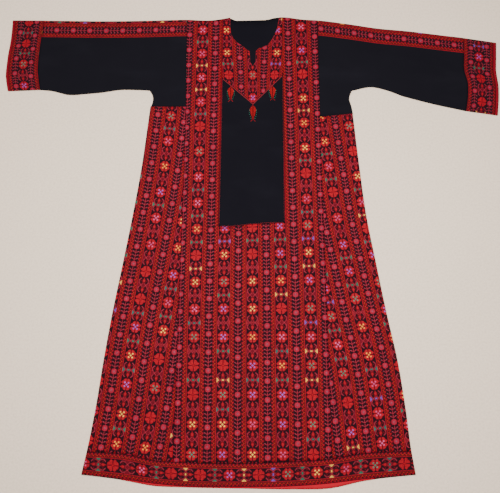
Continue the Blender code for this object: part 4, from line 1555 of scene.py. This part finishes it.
def cross_tree() -> StitchTree:
    """Tree that puts a cross of two strands on every point."""
    tree = StitchTree("cross_stitches", "Half Length", "Thread Radius")
    joined = tree.node("GeometryNodeJoinGeometry")
    lift = tree.given.outputs["Thread Radius"]
    for strand in (tree.strand(45.0, None, False), tree.strand(-45.0, lift, False)):
        tree.tree.links.new(strand, joined.inputs[0])
    points = tree.node("GeometryNodeMeshToPoints", {}, {"Mesh": tree.given.outputs["Geometry"]})
    tree.finish(points.outputs[0], joined.outputs[0])
    return tree


def running_tree() -> StitchTree:
    """Tree that lays single stitches along a line at an even pitch."""
    tree = StitchTree("running_stitches", "Pitch", "Half Length", "Thread Radius")
    line = tree.node("GeometryNodeMeshToCurve", {}, {0: tree.given.outputs["Geometry"]})
    points = tree.node("GeometryNodeCurveToPoints", {"mode": "LENGTH"}, {
        "Curve": line.outputs[0], "Length": tree.given.outputs["Pitch"]})
    tree.finish(points.outputs["Points"], tree.strand(0.0, None, True), points.outputs["Rotation"])
    return tree


@dataclass
class Stitching:
    """Maker of pieces of real stitches."""

    plan: Plan
    relief: Relief
    cross: StitchTree = field(default_factory=cross_tree)
    running: StitchTree = field(default_factory=running_tree)
    sink: float = 0.1

    def on_cloth(self, plan_points: Array, raised: float = 0.0) -> Array:
        """Plan points laid on the upper cloth.

        Args:
            plan_points: places on the plan, one a row.
            raised: how much higher than the upper cloth they lie.

        Returns:
            Points in metres.
        """
        x, y = plan_points[:, 0], plan_points[:, 1]
        z = self.relief.front(x, y) + CLOTH / 2 + raised - self.sink
        return metres(np.column_stack([x, y, z]))

    def stitched(self, name: str, tree: StitchTree, lines: list[Array], joined: bool, slot: str,
                 material: bpy.types.Material, settings: dict[str, float]) -> bpy.types.Object:
        """Run a tree and keep its result as a plain mesh.

        Args:
            name: the piece's name.
            tree: the tree.
            lines: points in metres, one array for each line.
            joined: whether the points of a line are joined by edges.
            slot: the record's material slot; not used.
            material: the thread.
            settings: the tree's other inputs, by name.

        Returns:
            The finished object.
        """
        guide = bpy.data.meshes.new(f"{name}_guide")
        points, edges = [], []
        for line in lines:
            start = len(points)
            points += [tuple(point) for point in line]
            if joined:
                edges += [(start + step, start + step + 1) for step in range(len(line) - 1)]
        guide.from_pydata(points, edges, [])
        piece = placed(name, guide)
        modifier = piece.modifiers.new("stitches", "NODES")
        modifier.node_group = tree.tree
        for key, value in settings.items():
            modifier[tree.sockets[key]] = value
        modifier[tree.sockets["Material"]] = material
        graph = bpy.context.evaluated_depsgraph_get()
        mesh = bpy.data.meshes.new_from_object(
            piece.evaluated_get(graph), preserve_all_data_layers=True, depsgraph=graph)
        piece.modifiers.clear()
        piece.data = mesh
        if not mesh.materials:
            mesh.materials.append(material)
        bpy.data.meshes.remove(guide)
        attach(piece, "root")
        log.info("%s: %d faces", name, len(mesh.polygons))
        return piece


PENDANT_CHART = """
.....R..... .....R..... ....RDR.... ...RRDRR... ..RRRDRRR.. ..RRRDRRR.. .RRRRDRRRR. .RRRRDRRRR.
GRRRRDRRRRG .RRRRDRRRR. ..RRRDRRR.. G.RRRDRRR.G ..RRRDRRR.. ..RRRDRRR.. G..RRDRR..G ...RRDRR...
...RRDRR... .G..RDR..G. ....RDR.... ....RDR.... ..G.RDR.G.. .....D..... ....R.R.... ...R...R...
..R.....R..
"""


@dataclass
class Pendants:
    """Three leaf-shaped pendants, cross-stitched on the insert under the yoke."""

    maker: Stitching
    places: Table = Table("x top low", (-65, 1149, 1099), (2, 1090, 1036), (61, 1151, 1103))
    width: float = 23.0
    thread_radius: float = 0.56
    half_length: float = 1.35
    threads: dict[str, Thread] = field(default_factory=lambda: {
        "R": Thread((0.480, 0.007, 0.009)), "D": Thread((0.060, 0.002, 0.003)),
        "G": Thread((0.030, 0.260, 0.150))})

    def build(self) -> list[bpy.types.Object]:
        """Make one piece for each thread."""
        rows = PENDANT_CHART.split()
        names = {"R": "pendants_red", "D": "pendants_dark_red", "G": "pendants_green"}
        pieces = []
        for letter, thread in self.threads.items():
            spots = []
            for middle, top, low in self.places.rows:
                step_x, step_y = self.width / len(rows[0]), (top - low) / len(rows)
                for row, word in enumerate(rows):
                    for column, cell in enumerate(word):
                        if cell == letter:
                            across = (column - (len(word) - 1) / 2) * step_x
                            spots.append((middle + across, top - (row + 0.5) * step_y))
            lines = [self.maker.on_cloth(np.array(spots))]
            pieces.append(self.maker.stitched(
                names[letter], self.maker.cross, lines, False, "red_thread",
                thread.material(names[letter]),
                {"Half Length": self.half_length * MM, "Thread Radius": self.thread_radius * MM}))
        return pieces


@dataclass
class EdgeStitches:
    """Rows of single stitches along the seams, the neckline and the hem."""

    maker: Stitching
    thread: Thread = Thread((0.46, 0.026, 0.040))
    pitch: float = 3.0
    half_length: float = 1.15
    thread_radius: float = 0.36
    window_low: dict[Side, float] = field(
        default_factory=lambda: {Side.LEFT: 724.0, Side.RIGHT: 732.0})
    window_end: float = 6.0
    window_inset: float = 1.6
    sill_ends: tuple[float, float] = (-92.0, 88.0)
    neck_inset: float = 1.8
    neck_ends: int = 4
    hem_ends: tuple[float, float] = (-440.0, 418.0)
    hem_inset: float = 2.0
    side_points: int = 120
    sill_points: int = 60
    neck_points: int = 400
    hem_points: int = 420

    def window_lines(self) -> list[Array]:
        """Both sides and the sill of the chest window."""
        plan = self.maker.plan
        lines = []
        for side, top in ((Side.LEFT, plan.v_left), (Side.RIGHT, plan.v_right)):
            y = np.linspace(self.window_low[side], top - self.window_end, self.side_points)
            x = plan.window.straight(side.value, y) + side.inward * self.window_inset
            lines.append(np.column_stack([x, y]))
        x = np.linspace(*self.sill_ends, self.sill_points)
        lines.append(np.column_stack([x, plan.sill.straight("y", x) + self.window_inset]))
        return lines

    def neck_line(self) -> Array:
        """Line beside the neckline and the slit, on the yoke."""
        neck, rim = self.maker.plan.neck_and_rim(self.neck_points)
        away = rim - neck
        away /= np.linalg.norm(away, axis=1)[:, None]
        return (neck + away * self.neck_inset)[self.neck_ends:-self.neck_ends]

    def hem_line(self) -> Array:
        """Line beside the front's lower edge."""
        x = np.linspace(*self.hem_ends, self.hem_points)
        return np.column_stack([x, self.maker.plan.hem.curve("front", x) + self.hem_inset])

    def build(self) -> list[bpy.types.Object]:
        """Make the rows of stitches."""
        settings = {"Pitch": self.pitch * MM, "Half Length": self.half_length * MM,
                    "Thread Radius": self.thread_radius * MM}
        rows = {"window": self.window_lines(), "neck": [self.neck_line()],
                "hem": [self.hem_line()]}
        return [
            self.maker.stitched(
                f"{name}_stitches", self.maker.running,
                [self.maker.on_cloth(line) for line in lines], True, "red_thread",
                self.thread.material(f"{name}_thread"), settings)
            for name, lines in rows.items()]


@dataclass
class YokePiping:
    """Cord of two twisted strands along the yoke's V edge."""

    plan: Plan
    relief: Relief
    radius: float = 1.1
    drop: float = 2.6
    lift: float = 0.5
    end: float = 3.0
    pitch: float = 5.5
    sides: int = 8
    strand_part: float = 0.56
    steps: int = 420

    def build(self, material: bpy.types.Material) -> bpy.types.Object:
        """Make the cord.

        Args:
            material: its thread.

        Returns:
            The finished object.
        """
        left = self.plan.yoke_rim(-self.plan.v_end)[0] + self.end
        right = self.plan.yoke_rim(self.plan.v_end)[0] - self.end
        x = np.linspace(left, right, self.steps)
        y = self.plan.v_edge(x) - self.drop
        z = self.relief.front(x, y) + CLOTH / 2 + self.lift + self.radius
        middle = np.column_stack([x, y, z])
        ahead = np.gradient(middle, axis=0)
        ahead /= np.linalg.norm(ahead, axis=1)[:, None]
        beside = np.cross((0.0, 0.0, 1.0), ahead)
        beside /= np.linalg.norm(beside, axis=1)[:, None]
        above = np.cross(ahead, beside)
        run = np.concatenate([[0], np.cumsum(np.linalg.norm(np.diff(middle, axis=0), axis=1))])
        points: list[tuple[float, ...]] = []
        faces: list[tuple[int, ...]] = []
        strand = self.radius * self.strand_part
        for start in (0.0, math.pi):
            angle = start + run / self.pitch * 2 * math.pi
            offset = (self.radius - strand) * (
                np.cos(angle)[:, None] * beside + np.sin(angle)[:, None] * above)
            first = len(points)
            for place, side, up in zip(middle + offset, beside, above):
                for corner in range(self.sides):
                    turn = 2 * math.pi * corner / self.sides
                    ring = place + strand * (math.cos(turn) * side + math.sin(turn) * up)
                    points.append(tuple(metres(ring)))
            for row in range(len(middle) - 1):
                low, high = first + row * self.sides, first + (row + 1) * self.sides
                for corner in range(self.sides):
                    after = (corner + 1) % self.sides
                    faces.append((low + corner, low + after, high + after, high + corner))
            faces.append(tuple(range(first, first + self.sides))[::-1])
            last = len(points) - self.sides
            faces.append(tuple(range(last, last + self.sides)))
        mesh = bpy.data.meshes.new("yoke_piping_cord")
        mesh.from_pydata(points, [], faces)
        mesh.shade_smooth()
        mesh.materials.append(material)
        piece = placed("yoke_piping_cord", mesh)
        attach(piece, "root")
        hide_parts("yoke_piping")
        log.info("%s: %d faces", piece.name, len(faces))
        return piece


class Lamp(NamedTuple):
    """A large soft square lamp that faces a point, with its power in watts."""

    name: str
    place: tuple[float, float, float]
    aim: tuple[float, float, float]
    size: float
    power: float
    color: Color

    def build(self) -> None:
        """Hang the lamp."""
        data = bpy.data.lights.new(self.name, "AREA")
        data.shape = "SQUARE"
        data.size = self.size
        data.energy = self.power
        data.color = self.color
        lamp = placed(self.name, data)
        lamp.location = self.place
        away = np.array(self.place) - np.array(self.aim)
        flat = math.hypot(away[0], away[1])
        lamp.rotation_euler = (math.atan2(flat, away[2]), 0.0, math.atan2(away[0], -away[1]))


@dataclass
class Studio:
    """Plain pale floor, soft light and the camera at the photograph's angle."""

    floor_color: Color = (0.790, 0.640, 0.505)
    floor_dark_part: float = 0.60
    floor_roughness: float = 0.95
    floor_specular: float = 0.1
    floor_half: float = 4.0
    camera_place: tuple[float, float, float] = (-0.007, -0.3535, 1.69)
    camera_tilt: float = 10.8
    lens: float = 43.2
    sensor: float = 36.0
    sky: float = 0.35
    sky_color: Color = (1.0, 0.985, 0.965)
    lamps: tuple[Lamp, ...] = (
        Lamp("window", (-1.6, 1.2, 2.4), (0.0, 0.1, 0.0), 1.6, 42.0, (1.0, 0.985, 0.96)),
        Lamp("room_fill", (0.1, -0.05, 1.8), (0.1, -0.04, 0.0), 0.9, 68.0, (1.0, 0.985, 0.965)))

    def floor(self) -> bpy.types.Object:
        """Make the floor."""
        shader = Shader("floor")
        tone = shader.noise(2.2, 3.0) * 0.2 + shader.noise(170.0, 3.0) * 0.9 - 0.45
        dark = tuple(part * self.floor_dark_part for part in self.floor_color)
        shader.surface(
            shader.mix(tone, self.floor_color, dark), self.floor_roughness, self.floor_specular)
        shader.bump(shader.noise(220.0, 4.0), 0.3, 0.001)
        half = self.floor_half
        mesh = bpy.data.meshes.new("floor")
        mesh.from_pydata(
            [(-half, -half, 0), (half, -half, 0), (half, half, 0), (-half, half, 0)], [],
            [(0, 1, 2, 3)])
        mesh.materials.append(shader.material)
        floor = placed("floor", mesh)
        return floor

    def build(self) -> None:
        """Make floor, light and camera."""
        self.floor()
        world = bpy.data.worlds.new("room")
        world.use_nodes = True
        background = world.node_tree.nodes["Background"]
        background.inputs["Color"].default_value = (*self.sky_color, 1.0)
        background.inputs["Strength"].default_value = self.sky
        bpy.context.scene.world = world
        for lamp in self.lamps:
            lamp.build()
        camera = placed("camera", bpy.data.cameras.new("camera"))
        camera.data.lens = self.lens
        camera.data.sensor_width = self.sensor
        camera.location = self.camera_place
        camera.rotation_euler = (math.radians(self.camera_tilt), 0.0, 0.0)
        bpy.context.scene.camera = camera


def main() -> None:
    """Build the studio and every piece, in the order in which they lie on each other."""
    logging.basicConfig(level=logging.INFO, format="%(name)s %(message)s")
    Studio().build()
    plan = Plan()
    relief = Relief(plan)
    shared = {"plan": plan, "relief": relief}
    black = BlackCotton().material("black_cotton")
    red = RedCotton().material("red_cotton")
    rim_red = RedCotton(
        color=(0.20, 0.003, 0.010), shade=(0.11, 0.002, 0.006)).material("rim_cotton")
    stitch = CrossStitch().material("stitched_front")
    BackPanel("back_panel", "black_cotton", (0.43, 1.31), 0.55, (), **shared).build(black)
    HemFacing("hem_facing", "red_cotton", (0.68, 0.03), 0.0150, ("back_panel",),
              thickness=FACING_CLOTH, **shared).build(red)
    FrontPanel("front_panel", "red_embroidery", (0.43, 1.31), 0.44, ("back_panel",),
               **shared).build(stitch)
    ChestInsert("chest_insert", "black_cotton", (0.19, 0.47), 0.078, ("back_panel",),
                **shared).build(black)
    Yoke("yoke", "red_embroidery", (0.185, 0.285), 0.032, ("chest_insert", "back_panel"),
         **shared).build(CrossStitch(seed=21.0, rose_start=6).material("stitched_yoke"))
    YokePiping(plan, relief).build(Thread((0.27, 0.022, 0.030)).material("piping_thread"))
    right_fold = Table("y u", (36, 2.0), (400, 1.5), (830, -3.5), (1060, -8.5))
    SideGore("side_gore_left", "red_embroidery", (0.47, 1.0), 0.34, (), side=Side.LEFT,
             **shared).build(CrossStitch(seed=12.0, rose_start=11).material("stitched_gore_left"))
    SideGore("side_gore_right", "red_embroidery", (0.44, 0.98), 0.30, (), side=Side.RIGHT,
             at_fold=right_fold, first_row=127.0, **shared).build(
        CrossStitch(seed=17.0, half_drop=True, rose_start=4).material("stitched_gore_right"))
    gap = SEAM_GAP / 2 / plan.cuff_width
    arms = ((Side.LEFT, 4.7, 76.0, 23.0), (Side.RIGHT, 7.0, 57.0, 31.0))
    for side, at_fold, flower, seed in arms:
        Sleeve(f"sleeve_{side.value}", "black_cotton", (0.50, 0.47), 0.225, (), side=side,
               at_fold=at_fold, **shared).build(
            CrossStitch(seed=seed + 2, limit=31.5, deep=0.05).material(f"sleeve_{side.value}"))
        rim = 1 - plan.binding[side] / plan.cuff_width
        CuffBand(f"cuff_{side.value}", "red_embroidery", (0.088, 0.47), 0.041,
                 (), side=side, start=gap, end=rim - gap, first_flower=flower, **shared).build(
            CrossStitch(seed=seed, order=StripOrder.ROSE_NEXT, deep=0.1).material(
                f"cuff_{side.value}"))
        CuffBand(f"cuff_binding_{side.value}", "red_cotton",
                 (2 * plan.binding[side] * MM, 0.47), plan.binding[side] * MM * 0.47, (),
                 side=side, start=rim + gap, end=1.0, lines=2, **shared).build(rim_red)
    HemBand("hem_band", "red_embroidery", (1.78, 0.062), 0.11, (), **shared).build(
        CrossStitch(seed=41.0, deep=0.05).material("stitched_hem"))
    maker = Stitching(plan, relief)
    Pendants(maker).build()
    EdgeStitches(maker).build()


if __name__ == "__main__":
    main()
